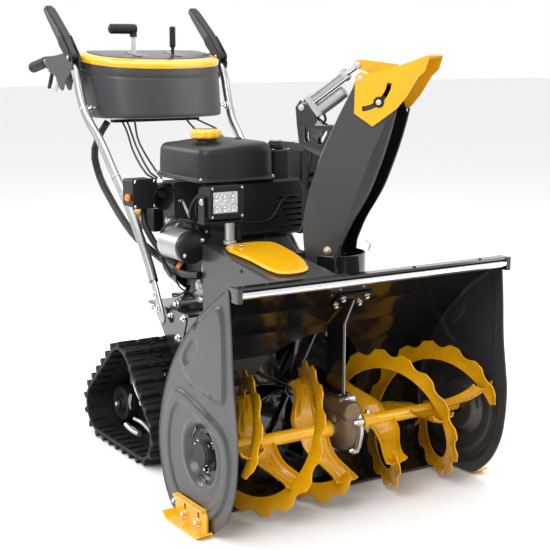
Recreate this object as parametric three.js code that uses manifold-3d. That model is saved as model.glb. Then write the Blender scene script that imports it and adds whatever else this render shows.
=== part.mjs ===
// Tracked two stage snowblower, 76 cm clearing width, built in millimetres with Z up.
// The machine's front faces -Y, the operator stands at +Y, and X runs across the machine.
import * as THREE from 'three';
import { mergeVertices } from 'three/addons/utils/BufferGeometryUtils.js';
import Module from 'manifold-3d';

const wasm = await Module();
wasm.setup();

// Driving dimensions
const Y_CENTRE = 727.5;
const GAP = 0.4;
const PLATE_X = 388;
const SHEET = 4;
const AUGER_Y = 150;
const AUGER_Z = 184;
const AUGER_R = 172;
const IMPELLER_Z = 229;
const DRUM_R = 172;
const CRANK_X = -30;
const CRANK_Z = 505;
const CHUTE_X = 105;
const CHUTE_Y = 335;
const CHUTE_TURN = THREE.MathUtils.degToRad(39);
const CHUTE_HALF = 75;
const TILT_F = 84;
const TILT_Z = 1014;
const ACTUATOR_F = -81;
const ACTUATOR_Z = 940;
const EYE_F = 61;
const EYE_Z = 1045;
const ACTUATOR_X = -8;
const TRACK_IN = 121;
const TRACK_OUT = 313;
const SPROCKET = [748, 222];
const FRONT_IDLER = [632, 88];
const REAR_IDLER = [900, 90];
const LUG_R = 88;
const BELT_R = 73;
const BELT_INNER_R = 62;
const HANDLE_X = 243;
const TUBE_R = 12.5;
const LEVER_Y = 1150;
const LEVER_Z = 1058;
const CONSOLE_LEVER_Y = 1112;
const CONSOLE_LEVER_Z = 985;

// Materials
const paint = (colour, roughness, metalness) => new THREE.MeshStandardMaterial({ color: colour, roughness, metalness });
const charcoal = paint('#55565a', 0.45, 0.3);
const blackPaint = paint('#1b1a1a', 0.2, 0.3);
const yellow = paint('#e8a212', 0.35, 0.1);
const bright = paint('#c9cbcd', 0.3, 0.9);
const castMetal = paint('#8d8578', 0.55, 0.7);
const blackPlastic = paint('#2a2a2c', 0.6, 0);
const rubber = paint('#1c1c1e', 0.85, 0);

// Building blocks
function solid(geometry) {
  const plain = geometry.clone();
  plain.deleteAttribute('normal');
  plain.deleteAttribute('uv');
  const merged = mergeVertices(plain, 0.002);
  const raw = merged.index.array;
  const position = merged.attributes.position;
  const corners = [new THREE.Vector3(), new THREE.Vector3(), new THREE.Vector3()];
  const kept = [];
  let volume = 0;
  for (let i = 0; i < raw.length; i += 3) {
    const three = [raw[i], raw[i + 1], raw[i + 2]];
    if (new Set(three).size < 3) continue;
    three.forEach((vertex, k) => corners[k].fromBufferAttribute(position, vertex));
    volume += corners[0].dot(corners[1].clone().cross(corners[2]));
    kept.push(three);
  }
  const triangles = kept.map((three) => (volume < 0 ? [three[0], three[2], three[1]] : three)).flat();
  return new wasm.Manifold(new wasm.Mesh({
    numProp: 3,
    vertProperties: new Float32Array(position.array),
    triVerts: new Uint32Array(triangles),
  }));
}

const fuse = (...pieces) => pieces.flat().reduce((whole, piece) => whole.add(piece));
const cut = (base, ...pieces) => pieces.flat().reduce((whole, piece) => whole.subtract(piece), base);

// Turns a geometry drawn in its own plane so that its depth runs along the named axis.
function orient(geometry, axis) {
  const basis = new THREE.Matrix4();
  const x = new THREE.Vector3(1, 0, 0);
  const y = new THREE.Vector3(0, 1, 0);
  const z = new THREE.Vector3(0, 0, 1);
  if (axis === 'x') basis.makeBasis(y, z, x);
  if (axis === 'y') basis.makeBasis(x, z, y.clone().negate());
  return geometry.applyMatrix4(basis);
}

function outline(points, smooth = 0) {
  const shape = new THREE.Shape();
  if (smooth > 0) {
    const loop = new THREE.CatmullRomCurve3(points.map(([a, b]) => new THREE.Vector3(a, b, 0)), true, 'centripetal');
    shape.setFromPoints(loop.getPoints(smooth).slice(0, -1).map((p) => new THREE.Vector2(p.x, p.y)));
    return shape;
  }
  shape.setFromPoints(points.map(([a, b]) => new THREE.Vector2(a, b)));
  return shape;
}

// A flat plate: points are (y,z) for axis x, (x,z) for axis y and (x,y) for axis z.
function slab(axis, points, from, to, { smooth = 0, edge = 0 } = {}) {
  const depth = to - from - 2 * edge;
  const options = { depth, bevelEnabled: edge > 0, bevelSize: edge, bevelThickness: edge, bevelOffset: -edge };
  options.bevelSegments = 1;
  const geometry = new THREE.ExtrudeGeometry(outline(points, smooth), options);
  geometry.translate(0, 0, axis === 'y' ? -to + edge : from + edge);
  return solid(orient(geometry, axis));
}

function box(x0, x1, y0, y1, z0, z1) {
  const geometry = new THREE.BoxGeometry(x1 - x0, y1 - y0, z1 - z0);
  geometry.translate((x0 + x1) / 2, (y0 + y1) / 2, (z0 + z1) / 2);
  return solid(geometry);
}

function rod(axis, radius, from, to, a, b, sides = 14, endRadius = radius) {
  const geometry = new THREE.CylinderGeometry(endRadius, radius, to - from, sides);
  geometry.translate(0, (from + to) / 2, 0);
  if (axis === 'x') geometry.rotateZ(-Math.PI / 2).translate(0, a, b);
  if (axis === 'y') geometry.translate(a, 0, b);
  if (axis === 'z') geometry.rotateX(Math.PI / 2).translate(a, b, 0);
  return solid(geometry);
}

function tube(points, radius, sides = 8, steps = points.length * 3) {
  const path = new THREE.CatmullRomCurve3(points.map((p) => new THREE.Vector3(...p)), false, 'centripetal');
  const section = new THREE.Shape();
  const ring = [];
  for (let i = 0; i < sides; i += 1) {
    const angle = (i / sides) * Math.PI * 2;
    ring.push(new THREE.Vector2(Math.cos(angle) * radius, Math.sin(angle) * radius));
  }
  section.setFromPoints(ring);
  return solid(new THREE.ExtrudeGeometry(section, { steps, extrudePath: path, bevelEnabled: false }));
}

// A straight round bar between two points.
function bar(start, end, radius, sides = 12) {
  const a = new THREE.Vector3(...start);
  const b = new THREE.Vector3(...end);
  const geometry = new THREE.CylinderGeometry(radius, radius, a.distanceTo(b), sides);
  const turn = new THREE.Quaternion().setFromUnitVectors(new THREE.Vector3(0, 1, 0), b.clone().sub(a).normalize());
  geometry.applyQuaternion(turn);
  const middle = a.add(b).multiplyScalar(0.5);
  geometry.translate(middle.x, middle.y, middle.z);
  return solid(geometry);
}

// A hexagonal bolt head along x or z.
const bolt = (axis, radius, from, to, a, b) => rod(axis, radius, from, to, a, b, 6);

function add(parent, name, manifold, material) {
  const mesh = manifold.getMesh();
  const geometry = new THREE.BufferGeometry();
  const stride = mesh.numProp;
  const vertices = new Float32Array((mesh.vertProperties.length / stride) * 3);
  for (let i = 0; i < vertices.length / 3; i += 1) {
    vertices[3 * i] = mesh.vertProperties[stride * i];
    vertices[3 * i + 1] = mesh.vertProperties[stride * i + 1];
    vertices[3 * i + 2] = mesh.vertProperties[stride * i + 2];
  }
  geometry.setAttribute('position', new THREE.BufferAttribute(vertices, 3));
  geometry.setIndex(new THREE.BufferAttribute(new Uint32Array(mesh.triVerts), 1));
  geometry.computeVertexNormals();
  const piece = new THREE.Mesh(geometry, material);
  piece.name = name;
  parent.add(piece);
  return piece;
}

// Offsets an open polyline to its left.
function offsetLine(points, distance) {
  return points.map(([a, b], i) => {
    const before = points[Math.max(i - 1, 0)];
    const after = points[Math.min(i + 1, points.length - 1)];
    const length = Math.hypot(after[0] - before[0], after[1] - before[1]);
    return [a - ((after[1] - before[1]) / length) * distance, b + ((after[0] - before[0]) / length) * distance];
  });
}

// The closed line round a belt that wraps several wheels; teeth stand out of it at an even pitch.
function beltLine(wheels, radius, teeth = 0, toothHeight = 0) {
  const points = [];
  wheels.forEach(([a, b], i) => {
    const before = wheels[(i + wheels.length - 1) % wheels.length];
    const after = wheels[(i + 1) % wheels.length];
    const start = Math.atan2(b - before[1], a - before[0]) - Math.PI / 2;
    let end = Math.atan2(after[1] - b, after[0] - a) - Math.PI / 2;
    while (end < start) end += Math.PI * 2;
    const count = Math.max(4, Math.round(((end - start) * 6) / Math.PI));
    for (let k = 0; k <= count; k += 1) {
      const angle = start + ((end - start) * k) / count;
      points.push(new THREE.Vector3(a + Math.cos(angle) * radius, b + Math.sin(angle) * radius, 0));
    }
  });
  if (teeth === 0) return points.map((p) => [p.x, p.y]);
  const loop = new THREE.CurvePath();
  points.forEach((p, i) => loop.add(new THREE.LineCurve3(p, points[(i + 1) % points.length])));
  const line = [];
  for (let k = 0; k < teeth; k += 1) {
    [[0, 0], [0.04, 1], [0.32, 1], [0.36, 0]].forEach(([step, height]) => {
      const u = (k + step) / teeth;
      const p = loop.getPointAt(u);
      const t = loop.getTangentAt(u);
      line.push([p.x + t.y * toothHeight * height, p.y - t.x * toothHeight * height]);
    });
  }
  return line;
}

const object = new THREE.Group();
object.name = 'tracked_snowblower';
const machine = new THREE.Group();
machine.name = 'machine';
machine.position.y = -Y_CENTRE;
object.add(machine);

// Housing: a bent sheet between two stamped side plates
const plateLine = [
  [20, 546], [25, 584], [71, 557], [158, 499], [232, 431], [291, 360], [333, 280], [356, 204], [360, 155],
  [354, 118], [340, 74], [322, 41], [298, 15], [262, 5], [120, 5], [93, 12], [37, 61], [3, 125], [-9, 193],
  [-11, 258], [-5, 299], [8, 381], [14, 484],
];
const shellLine = [
  [12, 578], [34, 568], [68, 548], [148, 492], [217, 427], [274, 355], [314, 277], [335, 204], [338, 155],
  [332, 120], [318, 84], [300, 56], [277, 35], [248, 18], [226, 10.5],
];
const innerLine = offsetLine(shellLine, -SHEET);
const shellSheet = slab('x', [...shellLine, ...innerLine.reverse()], -PLATE_X + SHEET + GAP, PLATE_X - SHEET - GAP);
const frontOutline = [...offsetLine(shellLine, GAP), [60, -30], [-60, -30], [-60, 640], [-20, 640]];
const frontOfShell = slab('x', frontOutline, -420, 420);
const lipLine = [[8, 560], [24, 560], [30, 572], [20, 588], [-5, 588], [-9, 583], [6, 581.5]];
const lip = slab('x', lipLine, -PLATE_X + SHEET + GAP, PLATE_X - SHEET - GAP);
const cornerBlocks = [-1, 1].map((side) => {
  const near = side * 371;
  const far = side * (PLATE_X - SHEET - GAP);
  return box(Math.min(near, far), Math.max(near, far), -11, 24, 556, 588);
});
const drumHole = rod('y', DRUM_R, 150, 440, 0, IMPELLER_Z, 28);
const scraperLine = [[204, 2.6], [250, 17.4], [248, 24], [202, 8.8]];
const scraper = slab('x', scraperLine, -PLATE_X + SHEET + GAP, PLATE_X - SHEET - GAP);
add(machine, 'auger_housing_shell', cut(fuse(shellSheet, lip, cornerBlocks, scraper), drumHole), blackPaint);

add(machine, 'top_trim_rail', rod('x', 8, -370.6, 370.6, -3, 572, 12), bright);

function dish(side) {
  const profile = [[21, 366], [21, 370], [54, 370], [72, 388], [84, 388], [84, 384], [74, 384], [57, 366]];
  const line = [...profile, profile[0]].map(([r, x]) => new THREE.Vector2(r, side * x));
  const geometry = new THREE.LatheGeometry(line, 20);
  geometry.rotateZ(-Math.PI / 2).translate(0, AUGER_Y + 2, AUGER_Z - 4);
  return solid(geometry);
}

const upperPanel = [[62, 553], [40, 540], [43, 330], [54, 316], [190, 312], [208, 330], [214, 359], [236, 387]];
const lowerPanel = [[60, 268], [250, 292], [318, 200], [316, 130], [282, 60], [110, 28], [48, 84], [22, 150], [24, 250]];

function sidePlate(side) {
  const from = Math.min(side * PLATE_X, side * (PLATE_X - SHEET));
  const plate = slab('x', plateLine, from, from + SHEET);
  const raised = side * (PLATE_X + 2.5);
  const inner = side * (PLATE_X - 1);
  const upper = slab('x', upperPanel, Math.min(inner, raised), Math.max(inner, raised));
  const ribOuter = slab('x', lowerPanel, Math.min(inner, raised), Math.max(inner, raised));
  const ribInner = slab('x', lowerPanel.map(([y, z]) => [170 + (y - 170) * 0.85, 165 + (z - 165) * 0.85]), -420, 420);
  const round = rod('x', 78, -420, 420, AUGER_Y + 2, AUGER_Z - 4, 22);
  const slots = [35, 155, 275].map((angle) => {
    const turn = THREE.MathUtils.degToRad(angle);
    return rod('x', 9, side > 0 ? 360 : -400, side > 0 ? 400 : -360,
      AUGER_Y + 2 + Math.cos(turn) * 64, AUGER_Z - 4 + Math.sin(turn) * 64, 10);
  });
  return cut(fuse(cut(fuse(plate, upper, cut(ribOuter, ribInner)), round), dish(side)), slots);
}
add(machine, 'side_plate_right', sidePlate(-1), charcoal);
add(machine, 'side_plate_left', sidePlate(1), charcoal);

function skid(side) {
  const span = (near, far) => [Math.min(side * near, side * far), Math.max(side * near, side * far)];
  const near = PLATE_X + 3;
  const footLine = [[92, 12], [110, 0], [258, 0], [276, 14], [271, 17], [255, 5.5], [113, 5.5], [97, 15]];
  const foot = slab('x', footLine, ...span(near, 425));
  const webLine = [[112, 3], [112, 48], [124, 60], [250, 60], [262, 48], [262, 3]];
  const web = slab('x', webLine, ...span(near, near + 5));
  const topLip = slab('x', [[118, 55], [118, 60], [256, 60], [256, 55]], ...span(near, near + 15));
  const slots = [150, 214].map((y) => slab('x', [[y - 5, 18], [y - 5, 48], [y + 5, 48], [y + 5, 18]], ...span(380, 400)));
  const bolts = [150, 214].map((y) => fuse(
    rod('x', 11, ...span(near, near + 7), y, 22, 10),
    bolt('x', 8, ...span(near, near + 14), y, 22),
  ));
  return fuse(cut(fuse(foot, web, topLip), slots), bolts);
}
add(machine, 'skid_shoe_right', skid(-1), yellow);
add(machine, 'skid_shoe_left', skid(1), yellow);

function bearing(side) {
  const span = (near, far) => [Math.min(side * near, side * far), Math.max(side * near, side * far)];
  const centre = [AUGER_Y, AUGER_Z];
  const flange = rod('x', 44, ...span(370.5, 374), ...centre, 16);
  const cap = rod('x', 28, ...span(373, 391), ...centre, 16);
  const sleeve = rod('x', 14.5, ...span(366, 372), ...centre, 12);
  const bolts = [20, 140, 260].map((angle) => {
    const turn = THREE.MathUtils.degToRad(angle);
    return bolt('x', 7, ...span(373, 383), centre[0] + Math.cos(turn) * 37, centre[1] + Math.sin(turn) * 37);
  });
  const bore = rod('x', 11.6, ...span(360, 382), ...centre, 12);
  return cut(fuse(flange, cap, sleeve, bolts), bore);
}
add(machine, 'auger_bearing_right', bearing(-1), blackPlastic);
add(machine, 'auger_bearing_left', bearing(1), blackPlastic);

// Impeller drum with the neck that the chute turns on
const drumOuter = rod('y', DRUM_R + SHEET, 200, 440, 0, IMPELLER_Z, 28);
const drumInner = rod('y', DRUM_R, 190, 436, 0, IMPELLER_Z, 28);
const neckOuter = rod('z', 78, 262, 522, CHUTE_X, CHUTE_Y, 20);
const neckInner = rod('z', 74, 300, 530, CHUTE_X, CHUTE_Y, 20);
const neckFlange = rod('z', 96, 491, 499, CHUTE_X, CHUTE_Y, 20);
const clamps = [30, 150, 270].map((angle) => {
  const turn = THREE.MathUtils.degToRad(angle);
  const at = (r, z0, z1, size) => {
    const x = CHUTE_X + Math.cos(turn) * r;
    const y = CHUTE_Y + Math.sin(turn) * r;
    return rod('z', size, z0, z1, x, y, 8);
  };
  return fuse(at(96, 491, 499, 12), at(103, 491, 514, 4.5), at(98, 508.5, 514, 9));
});
const rearBoss = rod('y', 30, 430, 444, 0, IMPELLER_Z, 14);
const shaftHole = rod('y', 11, 420, 450, 0, IMPELLER_Z, 12);
const drum = cut(fuse(cut(fuse(drumOuter, neckOuter, neckFlange, clamps), drumInner, neckInner), rearBoss), shaftHole);
add(machine, 'impeller_drum', cut(drum, frontOfShell), blackPaint);

// Gearbox: a hollow casting on the auger shaft, hung from the housing
const caseRound = rod('x', 62, -30, 42, AUGER_Y, AUGER_Z, 16);
const caseFlange = rod('x', 66, 42, 52, AUGER_Y, AUGER_Z, 16);
const caseTop = box(-22, 42, 118, 182, AUGER_Z, 262);
const wormTube = rod('y', 25, 92, 224, 0, IMPELLER_Z, 12);
const caseBolts = [50, 140, 230, 320].map((angle) => {
  const turn = THREE.MathUtils.degToRad(angle);
  return bolt('x', 5, 51, 56, AUGER_Y + Math.cos(turn) * 57, AUGER_Z + Math.sin(turn) * 57);
});
const caseCavity = rod('x', 52, -22, 40, AUGER_Y, AUGER_Z, 16);
const wormCavity = rod('y', 16, 100, 216, 0, IMPELLER_Z, 12);
const caseBores = [rod('x', 13, -40, 60, AUGER_Y, AUGER_Z, 12), rod('y', 11, 200, 240, 0, IMPELLER_Z, 12)];
const gearCase = cut(fuse(caseRound, caseFlange, caseTop, wormTube, caseBolts), caseCavity, wormCavity, caseBores);
add(machine, 'gearbox_case', gearCase, castMetal);

const hangerLine = [[142, 263], [208, 263], [208, 422], [168, 460], [140, 484], [112, 506], [104, 506], [142, 440]];
const hangerPlate = slab('x', hangerLine, -2.5, 2.5);
const underShell = (y) => 541.5 - (y - 66) * 0.7;
const flangeSheet = [[90, underShell(90)], [142, underShell(142)], [139, underShell(142) - 5], [87, underShell(90) - 5]];
const hangerFlange = slab('x', flangeSheet, -48, 48);
const hangerBolts = [[-34, 100], [34, 100], [-34, 130], [34, 130]].map(([x, y]) => (
  bolt('z', 7, underShell(y) - 13, underShell(y) - 3, x, y)
));
const hangerFoot = box(-20, 20, 142, 182, 262.6, 266);
add(machine, 'gearbox_hanger', fuse(hangerPlate, hangerFlange, hangerBolts, hangerFoot), blackPaint);

// Belt cover over the pulleys, with its glossy lid
const coverLine = [[60, 300], [150, 549], [170, 556], [492, 600], [492, 130], [200, 130]];
const coverWedge = slab('x', coverLine, -190, -6);
const coverRear = slab('y', [[-190, 150], [-150, 118], [100, 118], [122, 150], [122, 540], [100, 562], [-190, 562]], 443, 492);
const wedgeHollow = slab('x', [[60, 200], [153, 545], [170, 553], [500, 597], [500, 60], [100, 60]], -187, -9);
const rearHollow = slab('y', [[-187, 151], [-149, 121], [99, 121], [119, 151], [119, 539], [99, 559], [-187, 559]], 446, 500);
const drumRoom = rod('y', DRUM_R + SHEET + 1, 100, 441, 0, IMPELLER_Z, 28);
const shaftRoom = rod('y', 32, 430, 450, 0, IMPELLER_Z, 14);
const coverHollow = [wedgeHollow, rearHollow, drumRoom, shaftRoom, frontOfShell];
add(machine, 'belt_cover', cut(fuse(coverWedge, coverRear), coverHollow), charcoal);

const lidOutline = [[-161, 0], [-28, 0], [-18, -60], [-34, -170], [-66, -228], [-118, -240], [-150, -226], [-158, -120]];
const lid = add(machine, 'belt_cover_panel', slab('z', lidOutline, 0, 11, { smooth: 24, edge: 5 }), yellow);
lid.position.set(0, 428, 592);
lid.rotation.x = Math.atan2(44, 322);

// Chassis: a folded tub between the tracks, the engine deck and the plates that carry the handle tubes
const tubOuter = box(-112, 112, 496, 815, 150, 412);
const tubInner = box(-107, 107, 501, 810, 155, 407);
const axleHole = rod('x', 16, -130, 130, ...SPROCKET, 12);
const deck = box(-225.5, 225.5, 506, 732, 411, 418);
const wing = [[517, 412], [517, 398], [560, 296], [574, 290], [602, 300], [696, 405], [696, 412]];
const wings = [slab('x', wing, -225.5, -221), slab('x', wing, 221, 225.5)];
const wingBolts = [[599, 402], [605, 329]].map(([y, z]) => [-1, 1].map((side) => {
  const from = Math.min(side * 212, side * 222);
  return bolt('x', 7, from, from + 10, y, z);
})).flat();
const drawbar = [box(-80, -60, 492, 500, 170, 330), box(60, 80, 492, 500, 170, 330)];
const chassis = cut(fuse(tubOuter, deck, wings, wingBolts, drawbar), tubInner, axleHole);
add(machine, 'chassis_frame', chassis, blackPaint);

// Engine
const crankcase = slab('y', [[-108, 418.5], [96, 418.5], [104, 560], [70, 604], [-96, 604], [-112, 560]], 500, 735, { edge: 6 });
const fins = [0, 1, 2, 3].map((i) => {
  const geometry = new THREE.BoxGeometry(6, 146, 120);
  geometry.translate(92 + i * 13, 0, 0).rotateY(-0.4).translate(-10, 641, 520);
  return solid(geometry);
});
const barrelGeometry = new THREE.BoxGeometry(110, 118, 96);
barrelGeometry.translate(100, 0, 0).rotateY(-0.4).translate(-10, 641, 520);
const carburettor = box(-182, -104, 655, 722, 560, 740);
const crankBoss = rod('y', 34, 494, 506, CRANK_X, CRANK_Z, 14);
const crankHole = rod('y', 12, 480, 560, CRANK_X, CRANK_Z, 12);
const feet = [box(-128, 118, 520, 545, 418.5, 430), box(-128, 118, 690, 715, 418.5, 430)];
const tankPost = box(-92, 60, 566, 730, 590, 753);
const engine = cut(fuse(crankcase, fins, solid(barrelGeometry), carburettor, crankBoss, feet, tankPost), crankHole);
add(machine, 'engine_block', engine, castMetal);

const recoilCan = rod('y', 104, 740, 800, CRANK_X - 20, CRANK_Z + 24, 22);
const recoilRim = rod('y', 108, 737, 748, CRANK_X - 20, CRANK_Z + 24, 22);
const recoilFace = rod('y', 86, 798, 812, CRANK_X - 20, CRANK_Z + 24, 32, 80);
const ropeArm = box(-200, -60, 742, 808, 600, 662);
const ropeHole = rod('y', 5, 735, 812, -170, 648, 10);
const recoil = cut(fuse(recoilCan, recoilRim, recoilFace, ropeArm), ropeHole);
add(machine, 'recoil_housing', recoil, blackPlastic);

const tankLine = [[-200, 500], [-186, 476], [-150, 470], [-20, 470], [14, 484], [20, 520], [20, 700], [-4, 735], [-176, 735], [-200, 705]];
const tankBody = slab('z', tankLine, 762, 850, { edge: 10 });
const tankRim = slab('z', tankLine.map(([x, y]) => [-90 + (x + 90) * 1.05, 603 + (y - 603) * 1.04]), 755, 763);
const tankNeck = rod('z', 30, 845, 858, -132, 572, 14);
const tankBore = rod('z', 23, 825, 870, -132, 572, 14);
add(machine, 'fuel_tank', cut(fuse(tankBody, tankRim, tankNeck), tankBore), blackPlastic);

const boxLine = [[-150, 608], [100, 608], [112, 640], [112, 720], [96, 752], [-140, 752], [-154, 720]];
const airBody = slab('y', boxLine, 480, 563, { edge: 6 });
const louvres = [0, 1, 2, 3, 4, 5].map((i) => box(66 - i * 7, 100, 474, 490, 626 + i * 15, 632 + i * 15));
const tower = slab('z', [[26, 512], [32, 504], [70, 504], [80, 514], [80, 556], [26, 556]], 745, 826, { edge: 4 });
const knob = rod('z', 18, 824, 846, 53, 530, 10);
const lampRoom = slab('z', [[-160, 470], [-78, 470], [-160, 534]], 590, 770);
add(machine, 'air_box', cut(fuse(airBody, tower, knob), louvres, lampRoom), blackPlastic);

const guardOuter = slab('y', [[144, 592], [290, 592], [290, 800], [268, 822], [160, 832], [144, 815]], 550, 735, { edge: 4 });
const guardInner = slab('y', [[148, 596], [286, 596], [286, 798], [266, 818], [161, 828], [148, 813]], 554, 731);
const guardSlots = [0, 1, 2, 3, 4].map((i) => box(170, 262, 540, 745, 640 + i * 26, 652 + i * 26));
const roofSlots = [0, 1, 2, 3, 4].map((i) => box(178, 256, 576 + i * 28, 588 + i * 28, 790, 850));
add(machine, 'muffler_guard', cut(guardOuter, guardInner, guardSlots, roofSlots), blackPlastic);

const starterBody = rod('y', 40, 494, 612, -215, 592, 16);
const starterNose = rod('y', 28, 608, 640, -215, 592, 14);
const solenoid = rod('y', 17, 520, 600, -172, 632, 12);
const starterArm = box(-205, -113, 575, 605, 560, 645);
add(machine, 'starter_motor', fuse(starterBody, starterNose, solenoid, starterArm), bright);

const intakeBody = box(-300, -236, 655, 722, 680, 752);
const intakeArm = box(-240, -182.5, 672, 712, 690, 736);
const horn = rod('y', 30, 636, 700, -222, 704, 20, 14);
const hornHollow = rod('y', 27, 630, 676, -222, 704, 20, 12);
const choke = rod('x', 7, -308, -298, 676, 706, 10);
add(machine, 'intake_box', cut(fuse(intakeBody, intakeArm, horn, choke), hornHollow), blackPlastic);

// Headlight on its post
const postRod = rod('z', 12, 601, 664, -134, 452, 12);
const postPlate = box(-216, -106, 434, 470, 657, 663);
const postEars = [box(-216, -211, 434, 464, 660, 726), box(-111, -106, 434, 464, 660, 726)];
const postHoles = rod('x', 4.6, -220, -100, 448, 712, 10);
add(machine, 'headlight_post', cut(fuse(postRod, postPlate, postEars), postHoles), castMetal);

const lampBody = slab('x', [[-30, -37], [-30, 37], [6, 39], [26, 28], [26, -28], [6, -39]], -48, 48);
const lampFins = [0, 1, 2, 3].map((i) => box(-44, 44, 8, 32, -24 + i * 13, -19 + i * 13));
const lampPins = rod('x', 4, -56, 56, 0, 0, 10);
const lampCells = [-1, 0, 1].map((i) => [-1, 1].map((k) => rod('y', 12, -40, -24, i * 27, k * 15, 10))).flat();
const headlight = add(machine, 'headlight', cut(fuse(lampBody, lampFins, lampPins), lampCells), blackPlastic);
headlight.position.set(-161, 448, 712);

// Fuel cap with a scalloped grip
const capLine = [];
for (let i = 0; i < 24; i += 1) {
  const angle = (i / 24) * Math.PI * 2;
  const r = i % 3 === 0 ? 38 : 41;
  capLine.push([Math.cos(angle) * r, Math.sin(angle) * r]);
}
const capBody = fuse(slab('z', capLine, 0, 24, { edge: 3 }), rod('z', 21, -20, 4, 0, 0, 14));
const fuelCap = add(machine, 'fuel_cap', capBody, yellow);
fuelCap.position.set(-132, 572, 858.4);

// Recoil handle: a closed loop with the end of its rope
const loopPoints = [];
for (let i = 0; i <= 20; i += 1) {
  const angle = (i / 20) * Math.PI * 2 + Math.PI / 2;
  loopPoints.push([Math.cos(angle) * 36, 0, Math.sin(angle) * 24]);
}
const loopHalf = (from, to) => tube(loopPoints.slice(from, to + 1), 6, 6, 8);
const loopBar = box(-37, 37, -6, 6, 16, 29);
const handleLoop = fuse(loopHalf(0, 10), loopHalf(10, 14), loopBar, rod('y', 3, -56, 0, 0, 22, 8));
const recoilHandle = add(machine, 'recoil_handle', handleLoop, yellow);
recoilHandle.position.set(-170, 822, 626);

// Belt drive from the engine to the impeller
function sheave(radius, y, x, z) {
  const profile = [[0, -11], [radius + 6, -11], [radius, -5], [radius, 5], [radius + 6, 11], [0, 11]];
  const geometry = new THREE.LatheGeometry(profile.map(([r, d]) => new THREE.Vector2(r, d)), 22);
  geometry.translate(x, y, z);
  return solid(geometry);
}
const worm = fuse(rod('y', 11, 104, 200, 0, 0, 10), [0, 1, 2, 3].map((i) => rod('y', 13.4, 133 + i * 9, 137 + i * 9, 0, 0, 10)));
const impellerShaft = fuse(rod('y', 9.5, 198, 480, 0, 0, 12), worm, sheave(88, 461, 0, 0));
const shaft = add(machine, 'impeller_shaft', impellerShaft, bright);
shaft.position.z = IMPELLER_Z;

const enginePulley = add(machine, 'engine_pulley', fuse(sheave(38, 461, 0, 0), rod('y', 10.5, 450, 550, 0, 0, 10)), bright);
enginePulley.position.set(CRANK_X, 0, CRANK_Z);

const pulleys = [[0, IMPELLER_Z], [CRANK_X, CRANK_Z]];
function beltHull(extra) {
  const points = [];
  const dx = pulleys[1][0];
  const dz = CRANK_Z - IMPELLER_Z;
  const spread = Math.acos(50 / Math.hypot(dx, dz));
  const lean = Math.atan2(dz, dx);
  for (let i = 0; i <= 16; i += 1) {
    const angle = lean + spread + ((Math.PI * 2 - 2 * spread) * i) / 16;
    points.push([Math.cos(angle) * (88 + extra), IMPELLER_Z + Math.sin(angle) * (88 + extra)]);
  }
  for (let i = 0; i <= 8; i += 1) {
    const angle = lean - spread + (2 * spread * i) / 8;
    points.push([dx + Math.cos(angle) * (38 + extra), CRANK_Z + Math.sin(angle) * (38 + extra)]);
  }
  return points;
}
const belt = cut(slab('y', beltHull(7), 457, 465), slab('y', beltHull(1), 450, 470));
add(machine, 'drive_belt', belt, rubber);

// Impeller: four paddles with back plates
const paddle = (turn) => {
  const blade = new THREE.BoxGeometry(5, 62, 138);
  blade.translate(0, 0, 89).rotateY(turn).translate(0, 398, 0);
  const tip = new THREE.BoxGeometry(26, 58, 5);
  tip.translate(12, 0, 157).rotateY(turn).translate(0, 398, 0);
  const fan = [[-4, 20], [4, 20], [62, 138], [50, 146], [36, 144], [24, 154], [6, 154], [-4, 150]];
  const web = new THREE.ExtrudeGeometry(outline(fan), { depth: 4, bevelEnabled: false });
  orient(web, 'y').rotateY(turn).translate(0, 429, 0);
  return fuse(solid(blade), solid(tip), solid(web));
};
const hub = rod('y', 24, 364, 429, 0, 0, 14);
const paddles = [0, 1, 2, 3].map((i) => paddle(0.5 + (i * Math.PI) / 2));
const impeller = add(machine, 'impeller', cut(fuse(hub, paddles), rod('y', 10, 350, 440, 0, 0, 12)), blackPaint);
impeller.position.z = IMPELLER_Z;

// Augers: two toothed ribbons on each tube, carried by pressed arms
const RIBBON_START = 352;
const RIBBON_TWIST = 0.0189;
function ribbon(fromX, toX, startAngle, sweep) {
  const steps = 3 * Math.round(Math.abs(sweep) / 0.44);
  const vertices = [];
  const faces = [];
  const direction = Math.sign(toX - fromX);
  for (let i = 0; i <= steps; i += 1) {
    const t = i / steps;
    const angle = startAngle + sweep * t;
    const x = fromX + (toX - fromX) * t;
    const outer = i % 3 === 1 ? AUGER_R - 14 : AUGER_R;
    const inner = 126 + 6 * Math.sin(Math.PI * t);
    [[inner, -2.2], [outer, -2.2], [outer, 2.2], [inner, 2.2]].forEach(([r, side]) => {
      vertices.push(x + side * direction, Math.cos(angle) * r, Math.sin(angle) * r);
    });
  }
  for (let i = 0; i < steps; i += 1) {
    for (let k = 0; k < 4; k += 1) {
      const a = 4 * i + k;
      const b = 4 * i + ((k + 1) % 4);
      faces.push(a, b, b + 4, a, b + 4, a + 4);
    }
  }
  const end = 4 * steps;
  faces.push(0, 2, 1, 0, 3, 2, end, end + 1, end + 2, end, end + 2, end + 3);
  const geometry = new THREE.BufferGeometry();
  geometry.setAttribute('position', new THREE.BufferAttribute(new Float32Array(vertices), 3));
  geometry.setIndex(faces);
  return solid(geometry);
}

function arm(x, lean, angle) {
  const line = [
    [x - 32, 8], [x + 32, 8], [x + 28 + lean * 0.5, 70], [x + 21 + lean, 138], [x - 21 + lean, 138], [x - 26 + lean * 0.4, 70],
  ];
  const plate = new THREE.ExtrudeGeometry(outline(line), { depth: 5, bevelEnabled: false });
  plate.translate(0, 0, -2.5).rotateX(angle);
  return solid(plate);
}

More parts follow.
